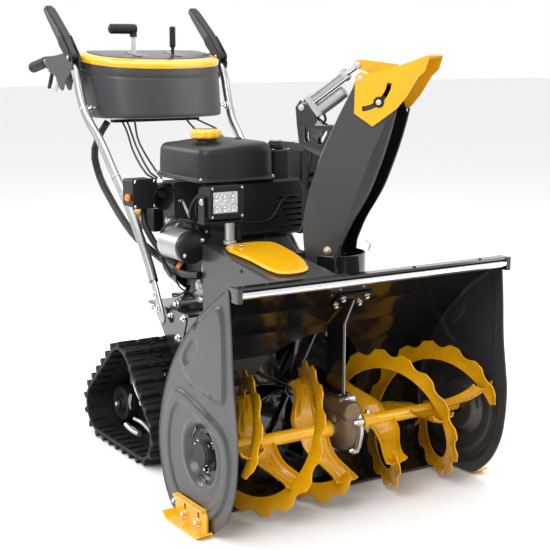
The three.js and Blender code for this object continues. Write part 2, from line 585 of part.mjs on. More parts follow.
function auger(side, near, firstAngle, ribbonEnd) {
  const tubeRod = rod('x', 16, Math.min(side * near, side * 362), Math.max(side * near, side * 362), 0, 0, 12);
  const bore = rod('x', 12.4, -400, 400, 0, 0, 12);
  const pieces = [tubeRod];
  [0, Math.PI].forEach((phase) => {
    const start = phase + firstAngle;
    pieces.push(ribbon(side * RIBBON_START, side * ribbonEnd, start, RIBBON_TWIST * (ribbonEnd - RIBBON_START)));
    [[RIBBON_START - 18, -44], [222, 10], [ribbonEnd + 18, 34]].forEach(([x, lean]) => {
      const angle = start + RIBBON_TWIST * (x - RIBBON_START);
      pieces.push(arm(side * (x + lean), -side * lean, angle));
    });
  });
  const boltX = side * (near + 22);
  pieces.push(bolt('z', 6, 12, 24, boltX, 0));
  pieces.push(bolt('z', 6, -24, -12, boltX, 0));
  return cut(fuse(pieces), bore);
}
const augerRight = add(machine, 'auger_right', auger(-1, 35, 0.18, 45), yellow);
augerRight.position.set(0, AUGER_Y, AUGER_Z);
const augerLeft = add(machine, 'auger_left', auger(1, 59, 2.6, 68), yellow);
augerLeft.position.set(0, AUGER_Y, AUGER_Z);

const wheelLine = [];
for (let i = 0; i < 40; i += 1) {
  const angle = (i / 40) * Math.PI * 2;
  const r = i % 2 === 0 ? 27.5 : 30;
  wheelLine.push([Math.cos(angle) * r, Math.sin(angle) * r]);
}
const shaftBar = fuse(rod('x', 11, -374, 374, 0, 0, 12), slab('x', wheelLine, -9, 9));
const augerShaft = add(machine, 'auger_shaft', shaftBar, bright);
augerShaft.position.set(0, AUGER_Y, AUGER_Z);

// Chute: it turns about a vertical axis and faces its own -Y
const chute = new THREE.Group();
chute.name = 'chute';
chute.position.set(CHUTE_X, CHUTE_Y, 0);
chute.rotation.z = CHUTE_TURN;
machine.add(chute);
const forward = (points) => points.map(([f, z]) => [-f, z]);
const wallLine = [
  [6, 549], [-54, 625], [-60, 669], [-47, 736], [-15, 825], [28, 921], [64, 990], [74, 1020], [88, 1027],
  [100, 1014], [172, 940], [149, 851], [108, 741], [66, 669], [38, 606],
];
const backEdge = [[-60, 560], [-57, 625], [-56, 669], [-43, 735], [-11, 824], [32, 919], [70, 995], [100, 1060]];
const wallSlab = slab('x', forward(wallLine), -CHUTE_HALF, CHUTE_HALF);
const channelHollow = slab('x', forward([...backEdge, [260, 1060], [260, 585], [-50, 585]]), -CHUTE_HALF + 3, CHUTE_HALF - 3);
const baseTube = rod('z', 84, 500, 606, 0, 0, 20);
const baseRing = rod('z', 92, 500, 507, 0, 0, 20);
const baseHollow = rod('z', 80, 490, 606, 0, 0, 20);
const baseFront = box(-64, 64, -200, -34, 566, 620);
const bracketLine = [[-92, 944], [-84, 846], [-28, 818], [18, 896], [-22, 896], [-46, 914], [-70, 948], [-80, 954]];
const windows = [
  slab('x', forward([[-72, 858], [-70, 898], [-54, 862]]), -60, 60),
  slab('x', forward([[-40, 862], [-26, 880], [-16, 880], [-30, 850]]), -60, 60),
];
const cheeks = [slab('x', forward(bracketLine), -27, -23), slab('x', forward(bracketLine), 7, 11)];
const bracketTie = box(-27, 11, 78, 82, 850, 905);
const basePin = rod('x', 4, -30, 14, -ACTUATOR_F, ACTUATOR_Z, 10);
const pivotBolts = [rod('x', 5, -92, -73, -TILT_F, TILT_Z, 10), rod('x', 5, 73, 92, -TILT_F, TILT_Z, 10)];
const pivotHeads = [bolt('x', 8, -92, -87, -TILT_F, TILT_Z), bolt('x', 8, 87, 92, -TILT_F, TILT_Z)];
const clampStuds = [rod('x', 4.5, -90, -73, -131, 958, 10), rod('x', 4.5, 73, 90, -131, 958, 10)];
const clampHeads = [rod('x', 12, -94, -87, -131, 958, 12), rod('x', 12, 87, 94, -131, 958, 12)];
const baseBolts = [bolt('x', 7, -80, -73, -4, 592), bolt('x', 7, 73, 80, -4, 592)];
const chuteShell = cut(fuse(wallSlab, baseTube, baseRing), channelHollow, baseHollow, baseFront);
const chuteFront = [pivotBolts, pivotHeads, clampStuds, clampHeads, baseBolts].flat();
add(chute, 'chute_body', fuse(chuteShell, cut(fuse(cheeks, bracketTie), windows), basePin, chuteFront), charcoal);

// Deflector: drawn about its own pivot
const deflector = new THREE.Group();
deflector.name = 'deflector_pivot';
deflector.position.set(0, -TILT_F, TILT_Z);
chute.add(deflector);
const fromPivot = (points) => points.map(([f, z]) => [TILT_F - f, z - TILT_Z]);
const cheekLine = [
  [72, 1018], [84, 1029], [101, 1024], [173, 1042], [251, 1070], [241, 1033], [224, 1017], [196, 970],
  [173, 942], [116, 900], [70, 930],
];
const roofLine = [[98, 1024], [173, 1042], [251, 1070], [252, 1066], [174, 1038], [99, 1020]];
const arc = cut(rod('x', 79, -95, 95, 0, 0, 36), rod('x', 67, -96, 96, 0, 0, 36));
const arcGate = slab('x', [[0, 0], [-8, -100], [-100, -100], [-100, -14]], -99, 99);
const arcSlot = arc.intersect(arcGate);
const slabs = [slab('x', fromPivot(cheekLine), -84, -80), slab('x', fromPivot(cheekLine), 80, 84)];
const roof = slab('x', fromPivot(roofLine), -84, 84);
const lugLine = [[50, 1046], [56, 1056], [66, 1057], [104, 1053], [156, 1046], [156, 1036], [96, 1022], [66, 1034], [54, 1036]];
const lugs = [slab('x', fromPivot(lugLine), -20, -16), slab('x', fromPivot(lugLine), 0, 4)];
const eyePin = rod('x', 4, -24, 8, TILT_F - EYE_F, EYE_Z - TILT_Z, 10);
const pivotHoles = rod('x', 5.6, -95, 95, 0, 0, 10);
add(deflector, 'deflector', fuse(cut(fuse(slabs, roof), arcSlot, pivotHoles), lugs, eyePin), yellow);

// Actuator: drawn along its own -Y from the base pin
const actuator = new THREE.Group();
actuator.name = 'actuator_pivot';
actuator.position.set(ACTUATOR_X, -ACTUATOR_F, ACTUATOR_Z);
actuator.rotation.x = -Math.atan2(EYE_Z - ACTUATOR_Z, EYE_F - ACTUATOR_F);
chute.add(actuator);
const reach = Math.hypot(EYE_F - ACTUATOR_F, EYE_Z - ACTUATOR_Z);
const baseEye = fuse(rod('x', 10, -10, 10, 0, 0, 10), box(-8, 8, -22, 0, -8, 8));
const drive = slab('x', [[-16, -44], [-16, 15], [-34, 15], [-34, -44]], -15, 15, { edge: 2 });
const cylinder = rod('y', 12, -140, -30, 0, 0, 12);
const rails = [bar([-12, -32, 8], [-12, -134, 8], 3, 8), bar([12, -32, 8], [12, -134, 8], 3, 8)];
const collar = box(-15, 15, -142, -130, -12, 14);
const motor = rod('y', 15, -104, -30, 0, -30, 12);
const bodyHollow = rod('y', 7, -150, -46, 0, 0, 10);
const bodyHole = rod('x', 4.6, -20, 20, 0, 0, 10);
add(actuator, 'actuator_body', cut(fuse(baseEye, drive, cylinder, rails, collar, motor), bodyHollow, bodyHole), bright);
const rodBar = fuse(rod('y', 5.5, -reach, -70, 0, 0, 10), rod('x', 10.5, -7, 7, -reach, 0, 10));
add(actuator, 'actuator_rod', cut(rodBar, rod('x', 7, -10, 10, -reach, 0, 12)), bright);

// Tracks
const wheels = [REAR_IDLER, SPROCKET, FRONT_IDLER];
function trackBelt(side) {
  const span = [Math.min(side * TRACK_IN, side * TRACK_OUT), Math.max(side * TRACK_IN, side * TRACK_OUT)];
  const outer = slab('x', beltLine(wheels, BELT_R, 26, LUG_R - BELT_R), ...span);
  return cut(outer, slab('x', beltLine(wheels, BELT_INNER_R + 2.4), -400, 400));
}
add(machine, 'track_belt_right', trackBelt(-1), rubber);
add(machine, 'track_belt_left', trackBelt(1), rubber);

function trackFrame(side) {
  const span = (near, far) => [Math.min(side * near, side * far), Math.max(side * near, side * far)];
  const plate = slab('x', beltLine(wheels, 30), ...span(200, 208));
  const holes = wheels.map(([y, z]) => rod('x', 17, -300, 300, y, z, 12));
  const window = slab('x', [[722, 92], [792, 92], [753, 150]], -300, 300, { edge: 0 });
  const cross = rod('x', 9, ...span(112.4, 202), 816, 165, 10);
  const tension = [bar([side * 204, 712, 70], [side * 272, 712, 58], 6), bar([side * 268, 706, 58], [side * 268, 786, 62], 6)];
  return fuse(cut(plate, holes, window), cross, tension);
}

function spool(radius, withAxle, teeth) {
  const half = (from, to) => {
    if (teeth === 0) return rod('x', radius, from, to, 0, 0, 16);
    const line = [];
    for (let i = 0; i < teeth * 4; i += 1) {
      const angle = (i / (teeth * 4)) * Math.PI * 2;
      const r = i % 4 < 2 ? radius : radius - 12;
      line.push([Math.cos(angle) * r, Math.sin(angle) * r]);
    }
    return slab('x', line, from, to);
  };
  const inner = half(150, 190);
  const outer = half(218, 256);
  const axle = rod('x', 14, withAxle ? 96 : 145, 262, 0, 0, 12);
  const dish = rod('x', radius - 16, 246, 270, 0, 0, 14);
  return fuse(cut(fuse(inner, outer), dish), axle, bolt('x', 10, 255, 270, 0, 0));
}

function wheel(name, centre, radius, side, withAxle, teeth, material) {
  const piece = add(machine, name, spool(radius, withAxle, teeth), material);
  piece.position.set(0, ...centre);
  if (side < 0) piece.rotation.y = Math.PI;
}

[[-1, 'right'], [1, 'left']].forEach(([side, hand]) => {
  add(machine, `track_frame_${hand}`, trackFrame(side), blackPaint);
  wheel(`track_sprocket_${hand}`, SPROCKET, BELT_INNER_R - GAP, side, true, 9, blackPlastic);
  wheel(`front_idler_${hand}`, FRONT_IDLER, BELT_INNER_R - GAP, side, false, 0, rubber);
  wheel(`rear_idler_${hand}`, REAR_IDLER, BELT_INNER_R - GAP, side, false, 0, rubber);
});

// Handles
const tubeLine = [
  [239, 622, 387], [237, 674, 480], [231, 722, 534], [228, 790, 607], [226, 853, 672], [226, 938, 751],
  [228, 1022, 833], [233, 1066, 872], [239, 1092, 909], [242, 1113, 953], [243, 1129, 997], [243, 1148, 1028],
  [243, 1172, 1043], [243, 1210, 1046], [243, 1290, 1046], [243, 1352, 1044],
];

function handleTube(side) {
  const x = side * HANDLE_X;
  const main = tube(tubeLine.map(([across, y, z]) => [side * across, y, z]), TUBE_R, 8, 22);
  const lug = box(x - 10, x + 10, 1138, 1162, 1032, 1067);
  const pin = rod('x', 4, x - 19.5, x + 19.5, LEVER_Y, LEVER_Z, 10);
  const inward = (near, far) => [Math.min(side * near, side * far), Math.max(side * near, side * far)];
  const clampBolt = fuse(rod('x', 7, ...inward(224, 243), 1091, 915, 10), bolt('x', 9, ...inward(224, 230), 1091, 915));
  const footBolts = [[637, 414], [656, 448]].map(([y, z]) => bolt('x', 8, ...inward(238, 257), y, z));
  const bracket = box(x - 9, x + 9, 1262, 1330, 1008, 1048);
  const triggerRoom = box(x - 5, x + 5, 1290, 1340, 1000, 1030);
  const triggerPin = rod('x', 3, x - 9, x + 9, 1312, 1018, 10);
  const hook = rod('z', 6, 962, 1012, x, 1274, 8);
  return fuse(cut(fuse(main, lug, clampBolt, footBolts, bracket), triggerRoom), pin, triggerPin, hook);
}

function clutchLever() {
  const leverCheekLine = [[-10, -10], [-10, 8], [84, 20], [96, -16], [12, -14]];
  const leverCheeks = [slab('x', leverCheekLine, -17.5, -13.6), slab('x', leverCheekLine, 13.6, 17.5)];
  const blade = slab('x', [[80, -15], [84, 18], [226, 12], [235, 4], [235, -6], [226, -11], [96, -16]], -17.5, 17.5, { edge: 2 });
  return cut(fuse(leverCheeks, blade), rod('x', 4.5, -30, 30, 0, 0, 10));
}

[[-1, 'right'], [1, 'left']].forEach(([side, hand]) => {
  add(machine, `handle_tube_${hand}`, handleTube(side), bright);
  const grip = cut(tube([[0, 1354, 1044], [0, 1400, 1038], [0, 1474, 1024]], 16, 12, 3), box(-20, 20, 1340, 1354, 1000, 1080));
  const gripPiece = add(machine, `grip_${hand}`, grip, rubber);
  gripPiece.position.x = side * HANDLE_X;
  const lever = add(machine, `clutch_lever_${hand}`, clutchLever(), blackPlastic);
  lever.position.set(side * HANDLE_X, LEVER_Y, LEVER_Z);
  lever.rotation.x = THREE.MathUtils.degToRad(38.5);
  const triggerLine = [[-6, -6], [-6, 6], [6, 6], [10, -8], [26, -34], [36, -52], [28, -54], [14, -36], [2, -14]];
  const finger = cut(slab('x', triggerLine, -4, 4), rod('x', 3.6, -10, 10, 0, 0, 10));
  const trigger = add(machine, `trigger_${hand}`, finger, blackPlastic);
  trigger.position.set(side * HANDLE_X, 1312, 1018);
});

// Console: a tapered pod with a yellow rim band, a raised top and two lever slots
const podLine = [
  [-212, 1215], [-217, 1150], [-204, 1092], [-160, 1042], [-84, 1014], [0, 1006], [84, 1014], [160, 1042],
  [204, 1092], [217, 1150], [212, 1215], [190, 1232], [-190, 1232],
];
const shrink = (points, inset) => points.map(([x, y]) => [x * (1 - inset / 222), 1125 + (y - 1125) * (1 - inset / 112)]);

function pod(inset, z0, z1, taper) {
  const geometry = new THREE.ExtrudeGeometry(outline(shrink(podLine, inset)), { depth: z1 - z0, bevelEnabled: false });
  const position = geometry.attributes.position;
  for (let i = 0; i < position.count; i += 1) {
    const scale = 1 - taper * (1 - position.getZ(i) / (z1 - z0));
    position.setX(i, position.getX(i) * scale);
    position.setY(i, 1135 + (position.getY(i) - 1135) * (1 - (1 - scale) * 1.6));
  }
  geometry.translate(0, 0, z0);
  return solid(geometry);
}

function slopeCut(zFront, zRear, from, to) {
  return slab('x', [[980, zFront], [1260, zRear], [1260, to], [980, to]], -300, 300);
}
const podFloor = slab('x', [[980, 860], [1260, 860], [1260, 902], [1120, 886], [980, 886]], -300, 300);
const podMain = cut(pod(0, 880, 1120, 0.07), slopeCut(1028, 1068, 0, 1140), podFloor);
const podTop = cut(pod(27, 1000, 1120, 0), slopeCut(1046, 1086, 0, 1140));
const pockets = [-71, 57].map((x) => box(x - 9, x + 9, CONSOLE_LEVER_Y - 42, CONSOLE_LEVER_Y + 42, 962, 1150));
add(machine, 'console_body', cut(fuse(podMain, podTop), pockets), charcoal);

const trimRing = cut(pod(-1.5, 1000, 1120, 0), pod(26, 990, 1130, 0), slopeCut(1045, 1085, 0, 1140));
const trimFloor = slab('x', [[980, 980], [1260, 980], [1260, 1068.5], [980, 1028.5]], -300, 300);
const trimRear = box(-300, 300, 1206, 1260, 980, 1140);
add(machine, 'console_trim', cut(trimRing, trimFloor, trimRear), yellow);

const speedShaft = fuse(rod('x', 7, -7, 7, 0, 0, 10), rod('z', 4.5, 0, 136, 0, 0, 10));
const speedGrip = fuse(rod('x', 14, -74, 8, 0, 154, 12), rod('z', 11, 132, 154, 0, 0, 10));
const speedLever = add(machine, 'speed_lever', fuse(speedShaft, speedGrip), blackPlastic);
speedLever.position.set(-71, CONSOLE_LEVER_Y, CONSOLE_LEVER_Z);

const stickShaft = fuse(rod('x', 7, -7, 7, 0, 0, 10), rod('z', 4.5, 0, 104, 0, 0, 10));
const stickGrip = rod('z', 9, 98, 160, 0, 0, 12);
const stick = add(machine, 'chute_joystick', fuse(stickShaft, stickGrip), blackPlastic);
stick.position.set(57, CONSOLE_LEVER_Y, CONSOLE_LEVER_Z);

// Wiring and control cables held along their routes
const conduitLine = [
  [-160, 1110, 874], [-185, 1110, 838], [-212, 1092, 790], [-214, 1056, 723], [-214, 978, 661], [-214, 892, 608],
  [-210, 824, 572], [-202, 745, 545], [-199, 675, 528], [-199, 622, 518], [-198, 560, 512], [-194, 500, 520],
];
add(machine, 'wiring_conduit', tube(conduitLine, 10.5, 8, 26), blackPlastic);

const cablePlate = box(-150, 130, 1086, 1112, 872, 880);
const cableRoutes = [
  [[-120, 1098, 876], [-150, 1000, 850], [-196, 860, 800], [-200, 780, 752], [-196, 738, 742]],
  [[-104, 1098, 876], [-140, 1000, 856], [-186, 860, 812], [-188, 784, 756], [-188, 742, 745]],
  [[-78, 1098, 876], [-120, 1010, 872], [-170, 880, 826], [-174, 792, 770], [-172, 745, 742]],
  [[92, 1098, 876], [60, 1020, 868], [24, 900, 846], [10, 800, 790], [0, 752, 740]],
  [[120, 1098, 876], [112, 1020, 866], [96, 900, 846], [70, 800, 780], [40, 752, 720]],
];
add(machine, 'control_cables', fuse(cablePlate, cableRoutes.map((route) => tube(route, 3, 5, 10))), blackPlastic);

export default object;
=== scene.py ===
import math
import random

import bmesh
import bpy
from mathutils import Matrix, Vector


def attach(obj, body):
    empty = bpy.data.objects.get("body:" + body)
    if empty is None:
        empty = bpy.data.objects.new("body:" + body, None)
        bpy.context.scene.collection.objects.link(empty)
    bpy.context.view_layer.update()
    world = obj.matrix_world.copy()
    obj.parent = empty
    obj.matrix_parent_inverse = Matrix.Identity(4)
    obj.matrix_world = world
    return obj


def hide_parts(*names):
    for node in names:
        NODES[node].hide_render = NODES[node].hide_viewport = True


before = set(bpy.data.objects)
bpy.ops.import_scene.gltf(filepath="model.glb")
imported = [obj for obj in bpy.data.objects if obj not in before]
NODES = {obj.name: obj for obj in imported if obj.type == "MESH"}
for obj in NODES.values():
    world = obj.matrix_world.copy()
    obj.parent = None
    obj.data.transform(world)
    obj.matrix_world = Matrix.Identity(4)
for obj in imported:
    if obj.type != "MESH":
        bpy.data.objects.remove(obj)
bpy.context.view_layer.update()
Y_CENTRE = 0.7275
random.seed(7)


# ---------------------------------------------------------------- materials
def _tree(name):
    m = bpy.data.materials.new(name)
    m.use_nodes = True
    nt = m.node_tree
    shader = nt.nodes["Principled BSDF"]
    coord = nt.nodes.new("ShaderNodeTexCoord")
    return m, nt, shader, coord.outputs["Object"]


def _noise(nt, coord, scale, detail=4.0, stretch=None):
    source = coord
    if stretch:
        mapping = nt.nodes.new("ShaderNodeMapping")
        mapping.inputs["Scale"].default_value = stretch
        nt.links.new(coord, mapping.inputs["Vector"])
        source = mapping.outputs["Vector"]
    n = nt.nodes.new("ShaderNodeTexNoise")
    n.inputs["Scale"].default_value = scale
    n.inputs["Detail"].default_value = detail
    nt.links.new(source, n.inputs["Vector"])
    return n.outputs["Fac"]


def _ramp(nt, value, stops):
    r = nt.nodes.new("ShaderNodeValToRGB")
    ramp = r.color_ramp
    ramp.elements[0].position, ramp.elements[0].color = stops[0][0], (*stops[0][1], 1)
    ramp.elements[1].position, ramp.elements[1].color = stops[1][0], (*stops[1][1], 1)
    for position, colour in stops[2:]:
        e = ramp.elements.new(position)
        e.color = (*colour, 1)
    nt.links.new(value, r.inputs["Fac"])
    return r.outputs["Color"]


def _range(nt, value, low, high):
    r = nt.nodes.new("ShaderNodeMapRange")
    r.inputs["To Min"].default_value = low
    r.inputs["To Max"].default_value = high
    nt.links.new(value, r.inputs["Value"])
    return r.outputs["Result"]


def material(name, colour, rough, metal=0.0, vary=0.12, rough_vary=0.08, cloud=14.0, grain=900.0, bump=0.15,
        depth=0.0003, stretch=None, coat=0.0, specular=0.5):
    m, nt, s, coord = _tree(name)
    patches = _noise(nt, coord, cloud, 5.0)
    dark = tuple(c * (1 - vary) for c in colour)
    light = tuple(min(1, c * (1 + vary)) for c in colour)
    nt.links.new(_ramp(nt, patches, [(0.3, dark), (0.7, light)]), s.inputs["Base Color"])
    fine = _noise(nt, coord, grain, 3.0, stretch)
    wear = _noise(nt, coord, cloud * 4, 6.0)
    nt.links.new(_range(nt, wear, rough - rough_vary, rough + rough_vary), s.inputs["Roughness"])
    b = nt.nodes.new("ShaderNodeBump")
    b.inputs["Strength"].default_value = bump
    b.inputs["Distance"].default_value = depth
    nt.links.new(fine, b.inputs["Height"])
    nt.links.new(b.outputs["Normal"], s.inputs["Normal"])
    s.inputs["Metallic"].default_value = metal
    s.inputs["Specular IOR Level"].default_value = specular
    if coat:
        s.inputs["Coat Weight"].default_value = coat
        s.inputs["Coat Roughness"].default_value = 0.08
    return m


# The darker yellow for the augers is painted shade: the auger yellow darkened for the shade under the
# housing.
M = {"gloss_black": material("gloss_black", (0.008, 0.0075, 0.0075), 0.13, 0.0, grain=260, bump=0.06,
    depth=0.0004, coat=0.6), "charcoal": material("charcoal", (0.036, 0.036, 0.038), 0.36, 0.1, vary=0.06,
    grain=700, bump=0.1, coat=0.25), "yellow": material("yellow", (0.74, 0.37, 0.004), 0.26, 0.0, vary=0.06,
    grain=320, bump=0.08, depth=0.0004, coat=0.35, specular=0.35), "yellow_shaded": material("yellow_shaded",
    (0.56, 0.265, 0.0015), 0.27, 0.0, vary=0.1, grain=320, bump=0.1, coat=0.3, specular=0.3),
    "yellow_gloss": material("yellow_gloss", (0.84, 0.42, 0.003), 0.16, 0.0, vary=0.04, grain=120,
    bump=0.04, coat=0.8), "bright": material("bright", (0.40, 0.40, 0.41), 0.34, 1.0, vary=0.06, grain=600,
    bump=0.12, stretch=(1, 1, 0.08)), "chrome": material("chrome", (0.78, 0.78, 0.79), 0.14, 1.0, vary=0.04,
    grain=400, bump=0.05), "cast": material("cast", (0.17, 0.115, 0.07), 0.42, 0.6, vary=0.2, grain=420,
    bump=0.5, depth=0.0006), "cast_light": material("cast_light", (0.55, 0.55, 0.56), 0.42, 0.9, vary=0.12,
    grain=420, bump=0.4, depth=0.0005), "engine": material("engine", (0.05, 0.05, 0.053), 0.5, 0.4,
    vary=0.2, grain=420, bump=0.4, depth=0.0005), "plastic": material("plastic", (0.0075, 0.0075, 0.008),
    0.4, 0.0, vary=0.1, grain=1300, bump=0.25, depth=0.0002, specular=0.3),
    "plastic_grey": material("plastic_grey", (0.030, 0.030, 0.033), 0.40, 0.0, vary=0.05, grain=1300,
    bump=0.22, depth=0.0002), "rubber": material("rubber", (0.008, 0.008, 0.0085), 0.58, 0.0, vary=0.25,
    grain=520, bump=0.4, depth=0.0004, specular=0.35), "silver": material("silver", (0.5, 0.5, 0.51), 0.34,
    0.85, vary=0.08, grain=500, bump=0.15), "fan_black": material("fan_black", (0.02, 0.02, 0.021), 0.12,
    0.3, grain=160, bump=0.06, depth=0.0006, coat=1.0), "deck_grey": material("deck_grey",
    (0.024, 0.0245, 0.027), 0.3, 0.0, vary=0.05, grain=1300, bump=0.15, depth=0.0002, coat=0.2),
    "tank_black": material("tank_black", (0.009, 0.009, 0.0095), 0.4, 0.0, vary=0.1, grain=900, bump=0.3,
    depth=0.00025, specular=0.35), "starter_silver": material("starter_silver", (0.42, 0.42, 0.43), 0.36,
    0.7, vary=0.06, grain=500, bump=0.1), "lens_back": material("lens_back", (0.6, 0.6, 0.62), 0.1, 0.9,
    vary=0.1, grain=300, bump=0.1), "orange": material("orange", (0.8, 0.2, 0.01), 0.35, 0.0, vary=0.06,
    grain=500, bump=0.1), "worn_steel": material("worn_steel", (0.45, 0.44, 0.42), 0.38, 1.0, vary=0.2,
    grain=380, bump=0.3),}


def lens_material():
    m, nt, s, coord = _tree("lamp_cell")
    cells = nt.nodes.new("ShaderNodeTexVoronoi")
    cells.inputs["Scale"].default_value = 180
    nt.links.new(coord, cells.inputs["Vector"])
    nt.links.new(_ramp(nt, cells.outputs["Distance"], [(0.1, (0.95, 0.95, 0.95)),
        (0.7, (0.55, 0.56, 0.58))]), s.inputs["Base Color"])
    s.inputs["Metallic"].default_value = 0.6
    s.inputs["Roughness"].default_value = 0.12
    return m


M["lens"] = lens_material()

# The augers take the darker yellow, which is painted shade.
LOOKS = {"gloss_black": ["auger_housing_shell", "impeller_drum", "gearbox_hanger", "impeller",
    "chassis_frame", "track_frame_right", "track_frame_left"], "charcoal": ["side_plate_right",
    "side_plate_left", "belt_cover", "chute_body"], "yellow": ["skid_shoe_right", "skid_shoe_left",
    "deflector"], "yellow_shaded": ["auger_right", "auger_left"], "yellow_gloss": ["belt_cover_panel",
    "fuel_cap", "recoil_handle", "console_trim"], "bright": ["handle_tube_right", "handle_tube_left"],
    "chrome": ["top_trim_rail", "actuator_rod"], "cast": ["gearbox_case"], "engine": ["engine_block"],
    "silver": ["starter_motor", "actuator_body"], "worn_steel": ["auger_shaft", "impeller_shaft",
    "engine_pulley"], "plastic": ["recoil_housing", "fuel_tank", "air_box", "muffler_guard", "intake_box",
    "headlight", "clutch_lever_right", "clutch_lever_left", "trigger_right", "trigger_left", "speed_lever",
    "chute_joystick", "track_sprocket_right", "track_sprocket_left", "auger_bearing_right",
    "auger_bearing_left", "wiring_conduit", "control_cables", "headlight_post"],
    "plastic_grey": ["console_body"], "rubber": ["track_belt_right", "track_belt_left", "front_idler_right",
    "front_idler_left", "rear_idler_right", "rear_idler_left", "grip_right", "grip_left", "drive_belt"],}
for look, names in LOOKS.items():
    for name in names:
        node = NODES[name]
        node.data.materials.clear()
        node.data.materials.append(M[look])

SOFT_EDGE = {"fuel_tank": 0.006, "console_body": 0.004, "belt_cover_panel": 0.004, "air_box": 0.003,
    "intake_box": 0.003, "recoil_housing": 0.003, "gearbox_case": 0.0025, "engine_block": 0.002,
    "console_trim": 0.002}
for name, node in NODES.items():
    bevel = node.modifiers.new("edge", "BEVEL")
    bevel.width = SOFT_EDGE.get(name, 0.0009)
    bevel.segments = 3 if name in SOFT_EDGE else 2
    bevel.limit_method = "ANGLE"
    bevel.angle_limit = math.radians(35)
    for polygon in node.data.polygons:
        polygon.use_smooth = True
    node.modifiers.new("smooth", "WEIGHTED_NORMAL").keep_sharp = True


# ---------------------------------------------------------------- building tools
def W(x, y, z):
    return Vector((x / 1000, y / 1000 - Y_CENTRE, z / 1000))


def emit(name, verts, faces, look, body, smooth=True, bevel=0.0, angle=35, solid=0.0, subdivide=0):
    mesh = bpy.data.meshes.new(name)
    mesh.from_pydata([tuple(v) for v in verts], [], faces)
    bm = bmesh.new()
    bm.from_mesh(mesh)
    bmesh.ops.remove_doubles(bm, verts=bm.verts, dist=1e-6)
    bmesh.ops.recalc_face_normals(bm, faces=bm.faces)
    bm.to_mesh(mesh)
    bm.free()
    obj = bpy.data.objects.new(name, mesh)
    bpy.context.collection.objects.link(obj)
    mesh.materials.append(M[look])
    if solid:
        m = obj.modifiers.new("thickness", "SOLIDIFY")
        m.thickness = solid
        m.offset = 0
    if bevel:
        m = obj.modifiers.new("edge", "BEVEL")
        m.width = bevel
        m.segments = 2
        m.limit_method = "ANGLE"
        m.angle_limit = math.radians(angle)
    if subdivide:
        m = obj.modifiers.new("round", "SUBSURF")
        m.levels = m.render_levels = subdivide
    if smooth:
        for polygon in mesh.polygons:
            polygon.use_smooth = True
        if not subdivide:
            m = obj.modifiers.new("smooth", "WEIGHTED_NORMAL")
            m.keep_sharp = True
    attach(obj, body)
    return obj


AXES = {"x": lambda a, b, d: W(d, a, b), "y": lambda a, b, d: W(a, d, b), "z": lambda a, b, d: W(a, b, d)}


def prism(name, axis, points, start, end, look, body, bevel=0.0008, place=None):
    """A plate: points are (y,z) for axis x, (x,z) for y and (x,y) for z, in mm."""
    put = place or AXES[axis]
    n = len(points)
    verts = [put(a, b, start) for a, b in points] + [put(a, b, end) for a, b in points]
    faces = [list(range(n)), list(range(n, 2 * n))] + [[i, (i + 1) % n, n + (i + 1) % n,
        n + i] for i in range(n)]
    return emit(name, verts, faces, look, body, bevel=bevel)


def turned(name, profile, origin, direction, look, body, sides=32, bevel=0.0, span=None):
    """A turned piece: profile is (radius, distance along direction) in mm from origin in mm."""
    d = Vector(direction).normalized()
    side = d.orthogonal().normalized()
    up = d.cross(side)
    o = W(*origin)
    verts, faces = [], []
    for r, t in profile:
        for k in range(sides):
            a = 2 * math.pi * k / sides
            verts.append(o + d * (t / 1000) + (side * math.cos(a) + up * math.sin(a)) * (max(r,
                0.02) / 1000))
    for i in range(len(profile) - 1):
        for k in range(sides):
            j = (k + 1) % sides
            faces.append([i * sides + k, i * sides + j, (i + 1) * sides + j, (i + 1) * sides + k])
    faces.append([k for k in range(sides)])
    faces.append([(len(profile) - 1) * sides + k for k in range(sides)])
    return emit(name, verts, faces, look, body, bevel=bevel)


def rod(name, start, end, radius, look, body, sides=20, bevel=0.0006):
    a, b = Vector(start), Vector(end)
    return turned(name, [(radius, 0), (radius, (b - a).length)], start, b - a, look, body, sides, bevel)


def cutout(name, outer, holes, start, end, look, body, place, bevel=0.0):
    """A flat plate with real openings through it."""
    curve = bpy.data.curves.new(name, "CURVE")
    curve.dimensions = "2D"
    curve.fill_mode = "BOTH"
    curve.extrude = 0.5
    for line in [outer] + holes:
        spline = curve.splines.new("POLY")
        spline.points.add(len(line) - 1)
        for point, (a, b) in zip(spline.points, line):
            point.co = (a, b, 0, 1)
        spline.use_cyclic_u = True
    flat = bpy.data.objects.new(name, curve)
    bpy.context.collection.objects.link(flat)
    mesh = bpy.data.meshes.new_from_object(flat)
    verts = [place(v.co.x, v.co.y, start + (v.co.z + 0.5) * (end - start)) for v in mesh.vertices]
    faces = [list(polygon.vertices) for polygon in mesh.polygons]
    bpy.data.objects.remove(flat)
    return emit(name, verts, faces, look, body, bevel=bevel)



def ball_bolt(name, origin, direction, radius, look, body, washer=1.5):
    """A hex head on a washer with a domed end and the thread's tip."""
    d = Vector(direction).normalized()
    w = turned(name + "_washer", [(radius * washer, 0), (radius * washer, radius * 0.28)], origin, d, look,
        body, 20, 0.0003)
    top = tuple(Vector(origin) + d * radius * 0.28)
    h = turned(name, [(radius, 0), (radius, radius * 0.75), (radius * 0.82, radius * 0.95)], top, d, look,
        body, 6, 0.0004)
    tip = tuple(Vector(origin) + d * radius)
    t = turned(name + "_stud", [(radius * 0.5, 0), (radius * 0.5, radius * 0.5)], tip, d, look, body, 12,
        0.0003)
    return [w, h, t]


